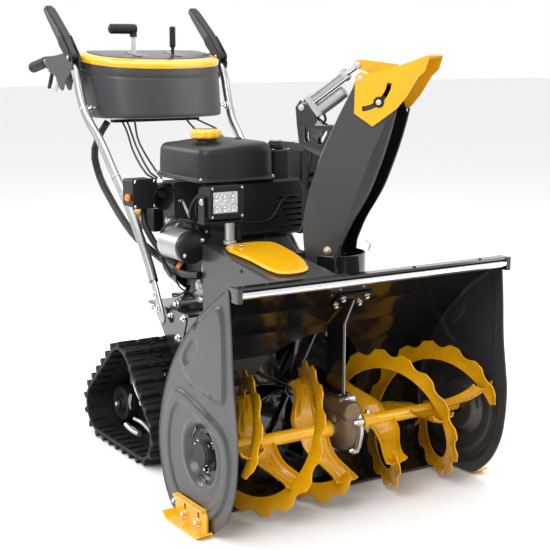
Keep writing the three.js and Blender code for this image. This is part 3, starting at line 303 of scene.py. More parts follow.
def pipe(name, points, radius, look, body, cyclic=False, steps=8, resolution=6, smooth=True):
    curve = bpy.data.curves.new(name, "CURVE")
    curve.dimensions = "3D"
    curve.bevel_depth = radius / 1000
    curve.bevel_resolution = resolution
    curve.resolution_u = steps
    curve.use_fill_caps = True
    spline = curve.splines.new("BEZIER" if smooth else "POLY")
    target = spline.bezier_points if smooth else spline.points
    target.add(len(points) - 1)
    for item, p in zip(target, points):
        v = W(*p)
        if smooth:
            item.co = v
            item.handle_left_type = item.handle_right_type = "AUTO"
        else:
            item.co = (*v, 1)
    spline.use_cyclic_u = cyclic
    obj = bpy.data.objects.new(name, curve)
    bpy.context.collection.objects.link(obj)
    curve.materials.append(M[look])
    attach(obj, body)
    return obj


def block(name, x0, x1, y0, y1, z0, z1, look, body, bevel=0.0015):
    return prism(name, "z", [(x0, y0), (x1, y0), (x1, y1), (x0, y1)], z0, z1, look, body, bevel)


def smoothstep(value, low, high):
    t = max(0.0, min(1.0, (value - low) / (high - low)))
    return t * t * (3 - 2 * t)


def inside(points, a, b):
    """Signed distance to a polygon, positive inside."""
    best, hit = 1e9, False
    n = len(points)
    for i in range(n):
        x0, y0 = points[i]
        x1, y1 = points[(i + 1) % n]
        dx, dy = x1 - x0, y1 - y0
        t = max(0.0, min(1.0, ((a - x0) * dx + (b - y0) * dy) / (dx * dx + dy * dy)))
        best = min(best, math.hypot(a - x0 - dx * t, b - y0 - dy * t))
        if (y0 > b) != (y1 > b) and a < x0 + (b - y0) * dx / dy:
            hit = not hit
    return best if hit else -best


def resample(points, count, closed=True):
    loop = points + [points[0]] if closed else points
    lengths = [math.dist(p, q) for p, q in zip(loop, loop[1:])]
    total = sum(lengths)
    out = []
    for k in range(count):
        s = total * k / (count if closed else count - 1)
        i = 0
        while i < len(lengths) - 1 and s > lengths[i]:
            s -= lengths[i]
            i += 1
        t = min(1.0, s / lengths[i])
        out.append(tuple(p + (q - p) * t for p, q in zip(loop[i], loop[i + 1])))
    return out


def rounded(points, times=2):
    """Chaikin corner cutting of a closed outline."""
    for _ in range(times):
        nxt = []
        for p, q in zip(points, points[1:] + points[:1]):
            nxt.append(tuple(a * 0.78 + b * 0.22 for a, b in zip(p, q)))
            nxt.append(tuple(a * 0.22 + b * 0.78 for a, b in zip(p, q)))
        points = nxt
    return points


# ---------------------------------------------------------------- housing
PLATE = [(20, 546), (25, 584), (71, 557), (158, 499), (232, 431), (291, 360), (333, 280), (356, 204),
    (360, 155), (354, 118), (340, 74), (322, 41), (298, 15), (262, 5), (120, 5), (93, 12), (37, 61),
    (3, 125), (-9, 193), (-11, 258), (-5, 299), (8, 381), (14, 484)]
UPPER = rounded([(60, 540), (44, 520), (40, 340), (52, 318), (196, 330), (236, 372), (246, 396), (160, 478),
    (84, 530)], 2)
LOWER = rounded([(40, 262), (150, 292), (262, 318), (306, 278), (330, 200), (330, 130), (300, 62),
    (262, 28), (130, 24), (64, 70), (30, 130), (18, 200)], 2)
VALLEY = rounded([(150, 428), (172, 452), (226, 396), (206, 372)], 1)
LOWER_INNER = rounded([(60, 238), (150, 264), (244, 288), (282, 256), (302, 198), (302, 134), (276, 78),
    (244, 52), (140, 50), (84, 92), (54, 140), (44, 200)], 2)
TAB = rounded([(150, 478), (164, 500), (186, 482), (172, 462)], 1)
EDGE_LINE = [(46, 322), (50, 327), (196, 340), (206, 352), (212, 350), (200, 333)]
DISH = (152, 180)


def stamped(a, b):
    """Height of the stamped sheet at (y, z), outwards, in mm."""
    r = math.hypot(a - DISH[0], b - DISH[1])
    height = 6 * smoothstep(inside(UPPER, a, b), -3, 4) + 6 * smoothstep(inside(LOWER, a, b), -4, 5)
    height -= 4 * smoothstep(inside(LOWER_INNER, a, b), -5, 5)
    height -= 4 * smoothstep(inside(VALLEY, a, b), -2, 3) + 4 * smoothstep(inside(TAB, a, b), -2, 2)
    height -= 2.5 * smoothstep(inside(EDGE_LINE, a, b), -2, 1.5)
    height += 1.2 * smoothstep(r, 92, 84)
    return height - 24 * smoothstep(r, 78, 55)


def side_plate(side, hand):
    ring = resample(PLATE, 220)
    outer_count, rings = len(ring), 70
    hole = 20.0
    verts, faces = [], []
    for i in range(rings + 1):
        t = (i / rings) ** 0.9
        for a, b in ring:
            angle = math.atan2(b - DISH[1], a - DISH[0])
            ha, hb = DISH[0] + math.cos(angle) * hole, DISH[1] + math.sin(angle) * hole
            y, z = ha + (a - ha) * t, hb + (b - hb) * t
            verts.append(W(side * (384.8 + stamped(y, z)), y, z))
    for i in range(rings):
        for k in range(outer_count):
            j = (k + 1) % outer_count
            faces.append([i * outer_count + k, i * outer_count + j, (i + 1) * outer_count + j,
                (i + 1) * outer_count + k])
    plate = emit(f"side_plate_sheet_{hand}", verts, faces, "charcoal", "machine", solid=0.0022)
    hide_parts(f"side_plate_{hand}")
    # The three crescents are gloss black patches in place of through slots: painted shade of the openings.
    for n, angle in enumerate((40, 160, 280)):
        t = math.radians(angle)
        slot = [(DISH[0] + math.cos(t + s) * r, DISH[1] + math.sin(t + s) * r) for r, order in ((70, (-0.3,
            -0.15, 0, 0.15, 0.3)), (60, (0.26, 0.13, 0, -0.13, -0.26))) for s in order]
        prism(f"dish_slot_shade_{hand}_{n}", "x", slot, side * 375, side * 378.6, "gloss_black", "machine",
            0.0004)
    pipe(f"side_plate_rim_{hand}", [(side * 385.5, a, b) for a, b in rounded(PLATE, 1)], 1.9, "charcoal",
        "machine", True, 3, 3)


side_plate(-1, "right")
side_plate(1, "left")

for side, hand in ((-1, "right"), (1, "left")):
    for n, angle in enumerate((20, 140, 260)):
        t = math.radians(angle)
        y, z = 150 + math.cos(t) * 37, 184 + math.sin(t) * 37
        ball_bolt(f"bearing_bolt_{hand}_{n}", (side * 374, y, z), (side, 0, 0), 6.5, "chrome", "machine",
            1.35)
    turned(f"bearing_cap_{hand}", [(28.5, 0), (28.5, 13), (25, 16.8), (0, 17)], (side * 374, 150, 184),
        (side, 0, 0), "charcoal", "machine", 40, 0.0008)
    for n, (y, z) in enumerate(((150, 22), (214, 22))):
        ball_bolt(f"skid_bolt_{hand}_{n}", (side * 396.2, y, z), (side, 0, 0), 7.5, "chrome", "machine",
            1.4)
    ball_bolt(f"plate_bolt_{hand}", (side * 386.5, 280, 31), (side, 0, 0), 6.5, "chrome", "machine", 1.3)
    for n, (y, z) in enumerate(((60, 96), (320, 330), (92, 508))):
        turned(f"plate_rivet_{hand}_{n}", [(3.4, 0), (3.2, 1.2), (1.6, 2.2)], (side * 388, y, z),
            (side, 0, 0), "charcoal", "machine", 14)
    block(f"rail_cap_{hand}", min(side * 369, side * 383.8), max(side * 369, side * 383.8), -10.6, 6, 563,
        583.5, "gloss_black", "machine", 0.004)
pipe("rail_top_line", [(-383, 8, 586.2), (383, 8, 586.2)], 1.8, "plastic", "machine", smooth=False)
for n, x in enumerate((-60, -20, 20, 60)):
    turned(f"lip_rivet_{n}", [(4, 0), (3.6, 1.6), (1.5, 2.4)], (x * 5, 6, 588), (0, 0, 1), "plastic",
        "machine", 12)

# ---------------------------------------------------------------- augers (ribbons and arms in the darker yellow: painted shade)
AUGER = (0, 150, 184)


def auger_point(x, r, angle):
    return (x, AUGER[1] + math.cos(angle) * r, AUGER[2] + math.sin(angle) * r)


def tooth_radius(s):
    """Scalloped edge: deep round bites between square topped teeth; s counts teeth."""
    u = s % 1.0
    bite = math.sin(math.pi * min(1.0, u / 0.62)) if u < 0.62 else 0.0
    return 171.6 - 13.0 * bite ** 0.8


RIBBON_START, RIBBON_TWIST = 352, 0.0189


def auger_ribbon(side, hand, n, first, start_x, end):
    steps, rows = 180, 5
    length = start_x - end
    teeth = round(length * RIBBON_TWIST / 0.44)
    verts, faces = [], []
    for i in range(steps + 1):
        t = i / steps
        x = side * (start_x - length * t)
        angle = first + RIBBON_TWIST * (abs(x) - RIBBON_START)
        outer = tooth_radius(t * teeth + 0.3)
        inner = 122 + 4 * math.sin(math.pi * t)
        taper = min(1.0, 6 * t + 0.55, 6 * (1 - t) + 0.55)
        outer = inner + (outer - inner) * taper
        for k in range(rows + 1):
            r = inner + (outer - inner) * k / rows
            cup = 3.0 * math.sin(math.pi * k / rows)
            verts.append(W(*auger_point(x + side * cup, r, angle)))
    for i in range(steps):
        for k in range(rows):
            a = i * (rows + 1) + k
            faces.append([a, a + 1, a + rows + 2, a + rows + 1])
    return emit(f"auger_ribbon_{hand}_{n}", verts, faces, "yellow_shaded", "augers", solid=0.0036,
        bevel=0.0006, angle=60)


def auger_arm(side, hand, n, x, lean, angle):
    """A pressed arm with a raised rib, from the tube out to the ribbon."""
    rows, columns = 26, 30
    radial = Vector((0, math.cos(angle), math.sin(angle)))
    across = Vector((0, -math.sin(angle), math.cos(angle)))
    verts, faces = [], []
    for i in range(rows + 1):
        t = i / rows
        r = 13 + 127 * t
        half = 38 - 11 * smoothstep(t, 0.1, 0.6) + 4 * smoothstep(t, 0.8, 1)
        centre = x + lean * smoothstep(t, 0.15, 1.0)
        for k in range(columns + 1):
            s = 2 * k / columns - 1
            rib = 7 * smoothstep(1 - abs(s), 0.3, 0.6) * smoothstep(t, 0.03, 0.2)
            ridges = 3.2 * max(0.0, math.cos(3 * math.pi * s)) * smoothstep(t, 0.45,
                0.62) * smoothstep(1 - t, 0.02, 0.1)
            fold = -9 * smoothstep(abs(s), 0.86, 1.0)
            p = Vector((centre + s * half, 0,
                0)) + radial * r + across * (rib + ridges + fold + 8 * math.sin(math.pi * t))
            verts.append(W(p.x, AUGER[1] + p.y, AUGER[2] + p.z))
    for i in range(rows):
        for k in range(columns):
            a = i * (columns + 1) + k
            faces.append([a, a + 1, a + columns + 2, a + columns + 1])
    emit(f"auger_arm_{hand}_{n}", verts, faces, "yellow_shaded", "augers", solid=0.0034, bevel=0.0005,
        angle=60)
    for q, (r, dx) in enumerate(((126, 0.95), (60, 0.45))):
        p = Vector((x + lean * dx, 0, 0)) + radial * r + across * (3.6 if q == 0 else 9.4)
        turned(f"auger_weld_{hand}_{n}_{q}", [(4.2, 0), (3.4, 1.4), (1.2, 2.0)], (p.x, AUGER[1] + p.y,
            AUGER[2] + p.z), across, "yellow_shaded", "augers", 12)


for side, hand, near, first, end in ((-1, "right", 35, 0.18, 45), (1, "left", 59, 2.6, 68)):
    for n, phase in enumerate((0, math.pi)):
        start = phase + first
        start_x = RIBBON_START if side < 0 else RIBBON_START + 18
        auger_ribbon(side, hand, n, start, start_x, end)
        for m, (x, lean) in enumerate(((start_x - 20, -44), (206, 34), (end + 8, 36))):
            angle = start + RIBBON_TWIST * (x - RIBBON_START)
            auger_arm(side, hand, 3 * n + m, side * (x + lean), -side * lean, angle)
    tube = rod(f"auger_tube_{hand}", (side * near, 150, 184), (side * 362, 150, 184), 16, "yellow",
        "augers", 40, 0.0015)
    rod(f"auger_collar_{hand}", (side * near, 150, 184), (side * (near + 34), 150, 184), 20.5, "yellow",
        "augers", 40, 0.0015)
    for s in (1, -1):
        ball_bolt(f"shear_bolt_{hand}_{s}", (side * (near + 20), 150, 184 + s * 20), (0, 0, s), 6, "chrome",
            "augers", 1.3)
    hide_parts(f"auger_{hand}")

# ---------------------------------------------------------------- gearbox and impeller
case = turned("gearbox_left_half", [(20, 0), (21, 6), (34, 9), (46, 14), (55, 22), (59, 32), (60, 44)],
    (-38, 150, 184), (1, 0, 0), "cast", "machine", 56, 0.001)
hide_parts("gearbox_case")
rim = []
for k in range(96):
    t = 2 * math.pi * k / 96
    r = 62 + 6.5 * max(0.0, math.cos(3 * t + 0.4)) ** 1.5
    rim.append((150 + math.cos(t) * r, 184 + math.sin(t) * r * 1.03))
prism("gearbox_rim", "x", rim, 4, 12, "cast", "machine", 0.0016)
prism("gearbox_silver_rim", "x", [(150 + (a - 150) * 1.03, 184 + (b - 184) * 1.03) for a, b in rim], 12.2,
    22, "cast_light", "machine", 0.0022)
turned("gearbox_right_half", [(54, 0), (50, 8), (40, 14), (24, 18), (21, 30)], (22, 150, 184), (1, 0, 0),
    "cast_light", "machine", 56, 0.001)
turned("gearbox_worm_bulge", [(16, -4), (24, 0), (27, 6), (27, 96), (24, 104), (17, 108)], (0, 100, 229),
    (0, 1, 0), "cast", "machine", 40, 0.001)
block("gearbox_bridge", -20, 30, 128, 178, 218, 260, "cast", "machine", 0.008)
block("gearbox_bridge_rim", 11, 24, 122, 186, 216, 263, "cast_light", "machine", 0.004)
for n, (y, z) in enumerate(((128, 256), (178, 256), (92, 206), (212, 204), (110, 132), (192, 134))):
    turned(f"gearbox_ear_{n}", [(8, 0), (9, 2), (9, 16), (8, 18)], (3, y, z), (1, 0, 0), "cast_light",
        "machine", 24, 0.0008)
    ball_bolt(f"gearbox_bolt_{n}", (3, y, z), (-1, 0, 0), 5.2, "chrome", "machine", 1.3)
turned("gearbox_plug", [(9, 0), (9, 6), (6, 8), (0, 8)], (-34, 128, 214), (-1, 0, 0), "cast", "machine", 6,
    0.0008)
for n, (x, y) in enumerate(((-34, 100), (34, 100), (-34, 130), (34, 130))):
    z = 541.5 - 0.7 * (y - 66) - 6
    ball_bolt(f"hanger_bolt_{n}", (x, y, z), (0, -0.57, -0.82), 6.5, "chrome", "machine", 1.4)
# A thin silver line along the hanger's edge: painted highlight.
pipe("hanger_edge_highlight", [(2.6, 141, 266), (2.6, 141, 440), (2.6, 106, 502)], 1.3, "silver", "machine",
    smooth=False)
for n in range(4):
    start = n * math.pi / 2 + 0.35
    rings = []
    for k in range(31):
        t = start + 1.05 * k / 30
        outer = 157 - (3.5 if k % 3 == 1 else 0)
        dish = 404 - 16 * smoothstep(k / 30, 0, 1)
        rings.append([(math.cos(t) * r, dish - 5 * math.sin(math.pi * (r - 24) / 134),
            229 + math.sin(t) * r) for r in [24 + (outer - 24) * q / 6 for q in range(7)]])
    verts = [W(*v) for ring in rings for v in ring]
    faces = [[a * 7 + q, a * 7 + q + 1, a * 7 + q + 8, a * 7 + q + 7] for a in range(30) for q in range(6)]
    emit(f"impeller_fan_{n}", verts, faces, "fan_black", "impeller_unit", solid=0.003)
turned("impeller_nose", [(0, 0), (16, 2), (22, 8), (24, 22)], (0, 356, 229), (0, 1, 0), "fan_black",
    "impeller_unit", 36, 0.0008)

# ---------------------------------------------------------------- tracks
WHEELS = [(900, 90), (748, 222), (632, 88)]


def belt_line(radius, arc_steps=14):
    points = []
    n = len(WHEELS)
    for i, (a, b) in enumerate(WHEELS):
        before, after = WHEELS[i - 1], WHEELS[(i + 1) % n]
        start = math.atan2(b - before[1], a - before[0]) - math.pi / 2
        end = math.atan2(after[1] - b, after[0] - a) - math.pi / 2
        while end < start:
            end += 2 * math.pi
        for k in range(arc_steps + 1):
            t = start + (end - start) * k / arc_steps
            points.append((a + math.cos(t) * radius, b + math.sin(t) * radius))
    return points


def along(points, count, shift=0.0):
    """Evenly spaced (point, tangent) pairs along a closed outline."""
    dense = resample(points, count * 8)
    out = []
    for k in range(count):
        i = int((k + shift) * 8) % len(dense)
        p, q = dense[i], dense[(i + 1) % len(dense)]
        length = math.dist(p, q)
        out.append((p, ((q[0] - p[0]) / length, (q[1] - p[1]) / length)))
    return out


def track(side, hand):
    outer, inner = belt_line(74.5), belt_line(65.2)
    n = len(outer)
    verts, faces = [], []
    for x in (123, 311):
        verts += [W(side * x, a, b) for a, b in outer] + [W(side * x, a, b) for a, b in inner]
    for k in range(n):
        j = (k + 1) % n
        faces += [[k, j, n + j, n + k], [2 * n + k, 2 * n + j, 3 * n + j, 3 * n + k],
            [k, j, 2 * n + j, 2 * n + k], [n + k, n + j, 3 * n + j, 3 * n + k]]
    belt = emit(f"track_band_{hand}", verts, faces, "rubber", "machine", bevel=0.002, angle=50)
    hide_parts(f"track_belt_{hand}")
    verts, faces = [], []

    def bar(p, t, x0, x1, low, high, width, taper):
        base = len(verts)
        normal = (t[1], -t[0])
        for x in (x0, x1):
            for s, h, w in ((-1, low, width), (-1, high, width * taper), (1, high, width * taper),
                    (1, low, width)):
                a = p[0] + normal[0] * h + t[0] * s * w / 2
                b = p[1] + normal[1] * h + t[1] * s * w / 2
                verts.append(W(side * x, a, b))
        for q in range(4):
            r = (q + 1) % 4
            faces.append([base + q, base + r, base + 4 + r, base + 4 + q])
        faces.extend([[base, base + 1, base + 2, base + 3], [base + 4, base + 5, base + 6, base + 7]])

    for p, t in along(outer, 26, 0.18):
        bar(p, t, 121.5, 312.5, -1, 7.5, 19, 0.8)
        bar(p, t, 121.5, 176, 5, 13.2, 11, 0.7)
        bar(p, t, 188, 246, 5, 13.2, 12, 0.75)
        bar(p, t, 258, 312.5, 5, 13.2, 12, 0.75)
        bar(p, t, 210, 224, 5, 10.5, 27, 0.8)
    for p, t in along(outer, 26, 0.68):
        bar(p, t, 134, 176, -1, 2.6, 12, 0.6)
        bar(p, t, 258, 300, -1, 3, 12, 0.6)
        bar(p, t, 211, 223, -1, 9, 11, 0.7)
    for p, t in along(inner, 26, 0.2):
        bar(p, t, 262, 309, -5.5, 1, 4.5, 0.6)
        bar(p, t, 125, 142, -5.0, 1, 5, 0.6)
    emit(f"track_lugs_{hand}", verts, faces, "rubber", "machine", bevel=0.0014, angle=40)


def idler(name, centre, side, body):
    """A road wheel: two rubber tyred discs on one hub."""
    inner = turned(f"{name}_inner", [(40, 0), (61, 3), (61.4, 8), (61.4, 30), (61, 36), (40, 40)],
        (side * 150, *centre), (side, 0, 0), "rubber", body, 48, 0.001)
    turned(f"{name}_disc", [(40, 0), (50, 2), (52, 6), (52, 26), (50, 31), (44, 33), (40, 28), (24, 25),
        (21, 34), (14, 35), (0, 35)], (side * 206, *centre), (side, 0, 0), "rubber", body, 56, 0.0008)
    turned(f"{name}_hub", [(16, 0), (16, 60), (13, 62)], (side * 186, *centre), (side, 0, 0), "plastic",
        body, 28, 0.0008)
    turned(f"{name}_bearing", [(13, 0), (13, 2), (9, 2.4), (9, 1)], (side * 241, *centre), (side, 0, 0),
        "silver", body, 28, 0.0004)
    ball_bolt(f"{name}_bolt", (side * 243, *centre), (side, 0, 0), 8.5, "chrome", body, 1.5)
    return inner


for side, hand, k in ((-1, "right", "r"), (1, "left", "l")):
    track(side, hand)
    for place, centre in (("rear", WHEELS[0]), ("front", WHEELS[2])):
        tyre = idler(f"{place}_wheel_{hand}", centre, side, f"idler_{place}_{k}")
        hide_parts(f"{place}_idler_{hand}")
    for q in range(9):
        t = 2 * math.pi * q / 9 + 0.2
        y, z = 748 + math.cos(t) * 42, 222 + math.sin(t) * 42
        rod(f"sprocket_pin_{hand}_{q}", (side * 210, y, z), (side * 226, y, z), 6, "plastic",
            f"sprocket_{k}", 14)
    pipe(f"tension_bar_{hand}", [(side * 274, 704, 58), (side * 274, 744, 57), (side * 272, 790, 62)], 7.5,
        "silver", "machine")
    pipe(f"tension_link_{hand}", [(side * 262, 640, 70), (side * 270, 690, 92), (side * 270, 740, 92)], 5,
        "silver", "machine")
    lever = rounded([(708, 246), (722, 250), (734, 232), (746, 226), (752, 204), (744, 176), (716, 152),
        (684, 140), (672, 150), (700, 166), (722, 184), (726, 202), (714, 218)], 1)
    prism(f"track_lever_{hand}", "x", lever, side * 262, side * 270, "silver", "machine", 0.0018)
    for n, (y, z) in enumerate(((736, 212), (712, 238), (690, 150))):
        turned(f"track_lever_boss_{hand}_{n}", [(11, 0), (11, 9), (8, 12), (8, 20)], (side * 256, y, z),
            (side, 0, 0), "silver", "machine", 24, 0.0008)
    rod(f"track_lever_pin_{hand}", (side * 208, 736, 212), (side * 266, 736, 212), 8, "silver", "machine")
    prism(f"track_hook_{hand}", "x", rounded([(780, 150), (796, 148), (806, 128), (800, 104), (786, 100),
        (790, 118), (782, 134)], 1), side * 250, side * 258, "gloss_black", "machine", 0.0015)
    prism(f"track_strut_{hand}", "x", [(664, 150), (680, 156), (730, 74), (716, 66)], side * 209,
        side * 216, "gloss_black", "machine", 0.0015)
    prism(f"track_strut_rear_{hand}", "x", [(816, 170), (828, 160), (790, 70), (776, 74)], side * 209,
        side * 216, "gloss_black", "machine", 0.0015)

# ---------------------------------------------------------------- console
POD = [(-212, 1215), (-217, 1150), (-204, 1092), (-160, 1042), (-84, 1014), (0, 1006), (84, 1014),
    (160, 1042), (204, 1092), (217, 1150), (212, 1215), (190, 1232), (-190, 1232)]


def loft(name, rings, look, body, bevel=0.0, close_ends=True, solid=0.0):
    n = len(rings[0])
    verts = [v for ring in rings for v in ring]
    faces = []
    for i in range(len(rings) - 1):
        for k in range(n):
            j = (k + 1) % n
            faces.append([i * n + k, i * n + j, (i + 1) * n + j, (i + 1) * n + k])
    if close_ends:
        faces += [list(range(n)), [(len(rings) - 1) * n + k for k in range(n)]]
    return emit(name, verts, faces, look, body, bevel=bevel, solid=solid)


pod_smooth = resample(rounded(POD, 3), 120)


def pod_ring(inset, height, lift=0.0, deck=None):
    """A level line of the pod: height runs from 0 at the floor to 1 at the rim."""
    scale = 1 - 0.045 * (1 - height)
    out = []
    for x, y in pod_smooth:
        px, py = x * (1 - inset / 222) * scale, 1125 + (y - 1125) * (1 - inset / 112)
        py = 1135 + (py - 1135) * scale - 34 * (1 - height)
        floor = 886 + max(0.0, py - 1120) * 0.11
        rim = 1028 + (py - 980) * 0.143
        out.append(W(px, py, floor + (rim - floor) * height + lift))
    return out


shell = loft("console_pod", [pod_ring(*row) for row in ((10, 0), (4, 0, 1.5), (1, 0, 6), (0.5, 0.1),
    (0.5, 0.4), (0.5, 0.74), (1.2, 0.765), (3.0, 0.78), (2.0, 0.8), (0.2, 0.83), (0, 0.92), (0, 0.985),
    (3, 1.0), (20, 1.0))], "plastic_grey", "machine")
loft("console_deck", [pod_ring(*row) for row in ((22, 1.0, 2), (24, 1.0, 15), (27, 1.0, 17.5),
    (34, 1.0, 18.6), (60, 1.0, 19.4), (100, 1.0, 19.8))], "deck_grey", "machine")
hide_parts("console_body")
trim_profile = [(20, 1.0), (4, -3), (-1.6, -7), (-2.6, -5), (-2.8, 3), (-1.6, 7.6), (3, 10.6), (14, 14.2),
    (22, 16.4), (25, 15.4), (23.5, 8)]
rows = [pod_ring(inset, 1.0, lift) for inset, lift in trim_profile]
keep = [i for i, p in enumerate(pod_smooth) if p[1] < 1209]
first = next(i for i in range(len(pod_smooth)) if i in keep and (i - 1) % len(pod_smooth) not in keep)
order = [(first + k) % len(pod_smooth) for k in range(len(keep))]
verts = [row[i] for i in order for row in rows]
m = len(rows)
faces = [[a * m + b, a * m + (b + 1) % m, (a + 1) * m + (b + 1) % m,
    (a + 1) * m + b] for a in range(len(order) - 1) for b in range(m)]
faces += [list(range(m)), [(len(order) - 1) * m + b for b in range(m)]]
trim = emit("console_rim_band", verts, faces, "yellow_gloss", "machine", angle=50)
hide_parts("console_trim")


def deck_z(y):
    return 1028 + (y - 980) * 0.143 + 19.8


for n, x in enumerate((-71, 57)):
    outline = rounded([(x - 13, 1066), (x + 13, 1066), (x + 13, 1158), (x - 13, 1158)], 2)
    slope = lambda a, b, d: W(a, b, deck_z(b) + d)
    prism(f"lever_gate_{n}", "z", outline, -3, 1.4, "deck_grey", "machine", 0.0006, place=slope)
    # The slot is a gloss black strip on the gate in place of an opening: painted shade of the opening.
    slot = rounded([(x - 7, 1072), (x + 7, 1072), (x + 7, 1152), (x - 7, 1152)], 1)
    prism(f"lever_slot_shade_{n}", "z", slot, 1.0, 1.7, "gloss_black", "machine", 0.0, place=slope)
    for q in range(5):
        y = 1078 + q * 17
        prism(f"gate_tick_{n}_{q}", "z", [(x + 18, y), (x + 27, y), (x + 27, y + 2), (x + 18, y + 2)], -0.5,
            0.8, "silver", "machine", 0.0, place=slope)


def ribbed(length, radius, ribs, depth):
    profile = [(radius * 0.55, 0), (radius * 0.9, 1.5)]
    for k in range(ribs):
        a = 4 + (length - 10) * k / ribs
        b = (length - 10) / ribs
        profile += [(radius - depth, a), (radius - depth, a + b * 0.25), (radius, a + b * 0.45),
            (radius, a + b * 0.85)]
    return profile + [(radius * 0.92, length - 4), (radius * 0.6, length - 0.8), (0, length)]


lever = block("lever_shank", -77.5, -64.5, 1110, 1114, 985, 1128, "silver", "speed", 0.0008)
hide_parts("speed_lever")
turned("lever_pivot_tube", [(11, 0), (11, 22)], (-82, 1112, 985), (1, 0, 0), "plastic", "speed", 20, 0.0008)
turned("lever_grip", ribbed(86, 14.5, 11, 1.8), (-62, 1112, 1139), (-1, 0, 0), "plastic", "speed", 28)
pipe("lever_elbow", [(-71, 1112, 1116), (-71, 1112, 1128), (-71.5, 1112, 1136), (-78, 1112, 1139)], 10.5,
    "plastic", "speed")
stick = rod("joystick_shank", (57, 1112, 985), (57, 1112, 1092), 5, "plastic", "joystick")
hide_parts("chute_joystick")
turned("joystick_grip", ribbed(62, 9.6, 9, 1.3), (57, 1112, 1086), (0, 0, 1), "plastic", "joystick", 24)
turned("joystick_ball", [(0, -10), (7, -8), (10, 0), (7, 8), (0, 10)], (57, 1112, 985), (1, 0, 0),
    "plastic", "joystick", 20)

# ---------------------------------------------------------------- handles
TUBE = [(239, 622, 387), (237, 674, 480), (231, 722, 534), (228, 790, 607), (226, 853, 672),
    (226, 938, 751), (228, 1022, 833), (233, 1066, 872), (239, 1092, 909), (242, 1113, 953),
    (243, 1129, 997), (243, 1148, 1026), (243, 1174, 1041), (243, 1210, 1046), (243, 1290, 1046),
    (243, 1358, 1044)]


def tilted(x, angle, origin):
    """A local frame on a lever: (y, z) in its own plane, turned about X."""
    c, s = math.cos(math.radians(angle)), math.sin(math.radians(angle))
    return lambda a, b, d: W(x + d, origin[0] + a * c - b * s, origin[1] + a * s + b * c)


for side, hand in ((-1, "right"), (1, "left")):
    x = side * 243
    tube = pipe(f"handle_pipe_{hand}", [(side * across, a, b) for across, a, b in TUBE[1:]], 12.5, "bright",
        "machine", steps=10, resolution=8)
    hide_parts(f"handle_tube_{hand}")
    lower = rounded([(608, 380), (628, 372), (662, 428), (690, 486), (672, 496), (652, 470), (630, 428)], 1)
    prism(f"handle_foot_{hand}", "x", lower, side * 233, side * 243, "bright", "machine", 0.004)
    turned(f"handle_joint_{hand}", [(13.8, 0), (13.8, 6)], (side * 226, 915, 729.6), (0, 0.72, 0.69),
        "silver", "machine", 28, 0.0008)
    turned(f"handle_sleeve_{hand}", [(13.3, 0), (13.3, 3)], (side * 226, 868, 686), (0, 0.72, 0.69),
        "silver", "machine", 28, 0.0008)
    for n, (y, z) in enumerate(((637, 414), (656, 448))):
        ball_bolt(f"handle_bolt_{hand}_{n}", (side * 243, y, z), (side, 0, 0), 7, "chrome", "machine", 1.4)
    ball_bolt(f"console_bolt_{hand}", (side * 226, 1091, 915), (-side, 0, 0), 9, "chrome", "machine", 1.4)
    rod(f"console_stud_{hand}", (side * 252, 1091, 915), (side * 206, 1091, 915), 5, "chrome", "machine")
    bracket = rounded([(1128, 1030), (1140, 1068), (1180, 1072), (1262, 1062), (1338, 1060), (1338, 1030),
        (1300, 1012), (1262, 1006), (1232, 966), (1204, 960), (1186, 992), (1158, 1008)], 1)
    prism(f"handle_bracket_{hand}", "x", bracket, x - 12.9, x - 10.6, "plastic_grey", "machine", 0.001)
    prism(f"handle_bracket_outer_{hand}", "x", bracket, x + 10.6, x + 12.9, "plastic_grey", "machine",
        0.001)
    pipe(f"short_lever_{hand}", [(x, 1262, 1022), (x, 1270, 998), (x, 1282, 970), (x, 1292, 958)], 5.5,
        "silver", "machine")
    turned(f"trigger_pin_{hand}", [(5, 0), (5, 28)], (x - 14, 1312, 1018), (1, 0, 0), "silver", "machine",
        16, 0.0006)
    pad = turned(f"grip_rubber_{hand}", ribbed(122, 16.4, 16, 0.7), (x, 1352, 1044.4), (0, 0.9864, -0.1644),
        "rubber", "machine", 32)
    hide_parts(f"grip_{hand}")

    frame_of = tilted(x, 38.5, (1150, 1058))
    blade = rounded([(-10, -9), (-8, 10), (30, 14), (84, 20), (160, 18), (226, 12), (235, 5), (235, -6),
        (226, -11), (96, -16), (20, -13)], 1)
    body = f"lever_{hand}"
    main = prism(f"clutch_paddle_{hand}", "x", blade, -11, 11, "plastic", body, 0.004, place=frame_of)
    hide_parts(f"clutch_lever_{hand}")
    for q, s in enumerate((-1, 1)):
        face = rounded([(40, -11), (40, 12), (84, 16), (222, 9), (229, 2), (224, -8), (96, -13)], 1)
        # The face on the -x side, toward the key light, is lighter grey and the other face black: painted
        # light on one side of the black paddle.
        prism(f"clutch_face_{hand}_{q}", "x", face, s * 10.5, s * 16.5,
            "plastic_grey" if q == 0 else "plastic", body, 0.003, place=frame_of)
        yoke = rounded([(-11, -11), (-11, 11), (40, 15), (88, 19), (92, -15), (30, -14)], 1)
        prism(f"clutch_yoke_{hand}_{q}", "x", yoke, s * 13.2, s * 17.4, "plastic", body, 0.0014,
            place=frame_of)
        turned(f"clutch_pin_{hand}_{q}", [(6, 0), (6, 2), (3, 4)], (x + s * 17.2, 1150, 1058), (s, 0, 0),
            "silver", body, 16, 0.0004)

# ---------------------------------------------------------------- engine
TANK = rounded([(-200, 500), (-186, 476), (-150, 470), (-20, 470), (14, 484), (20, 520), (20, 700),
    (-4, 735), (-176, 735), (-200, 705)], 2)
tank_line = resample(TANK, 96)


def tank_ring(inset, z, sag=0.0):
    out = []
    for x, y in tank_line:
        px, py = -90 + (x + 90) * (1 - inset / 110), 603 + (y - 603) * (1 - inset / 132)
        out.append(W(px, py, z - sag * smoothstep(-x, 40, 190)))
    return out


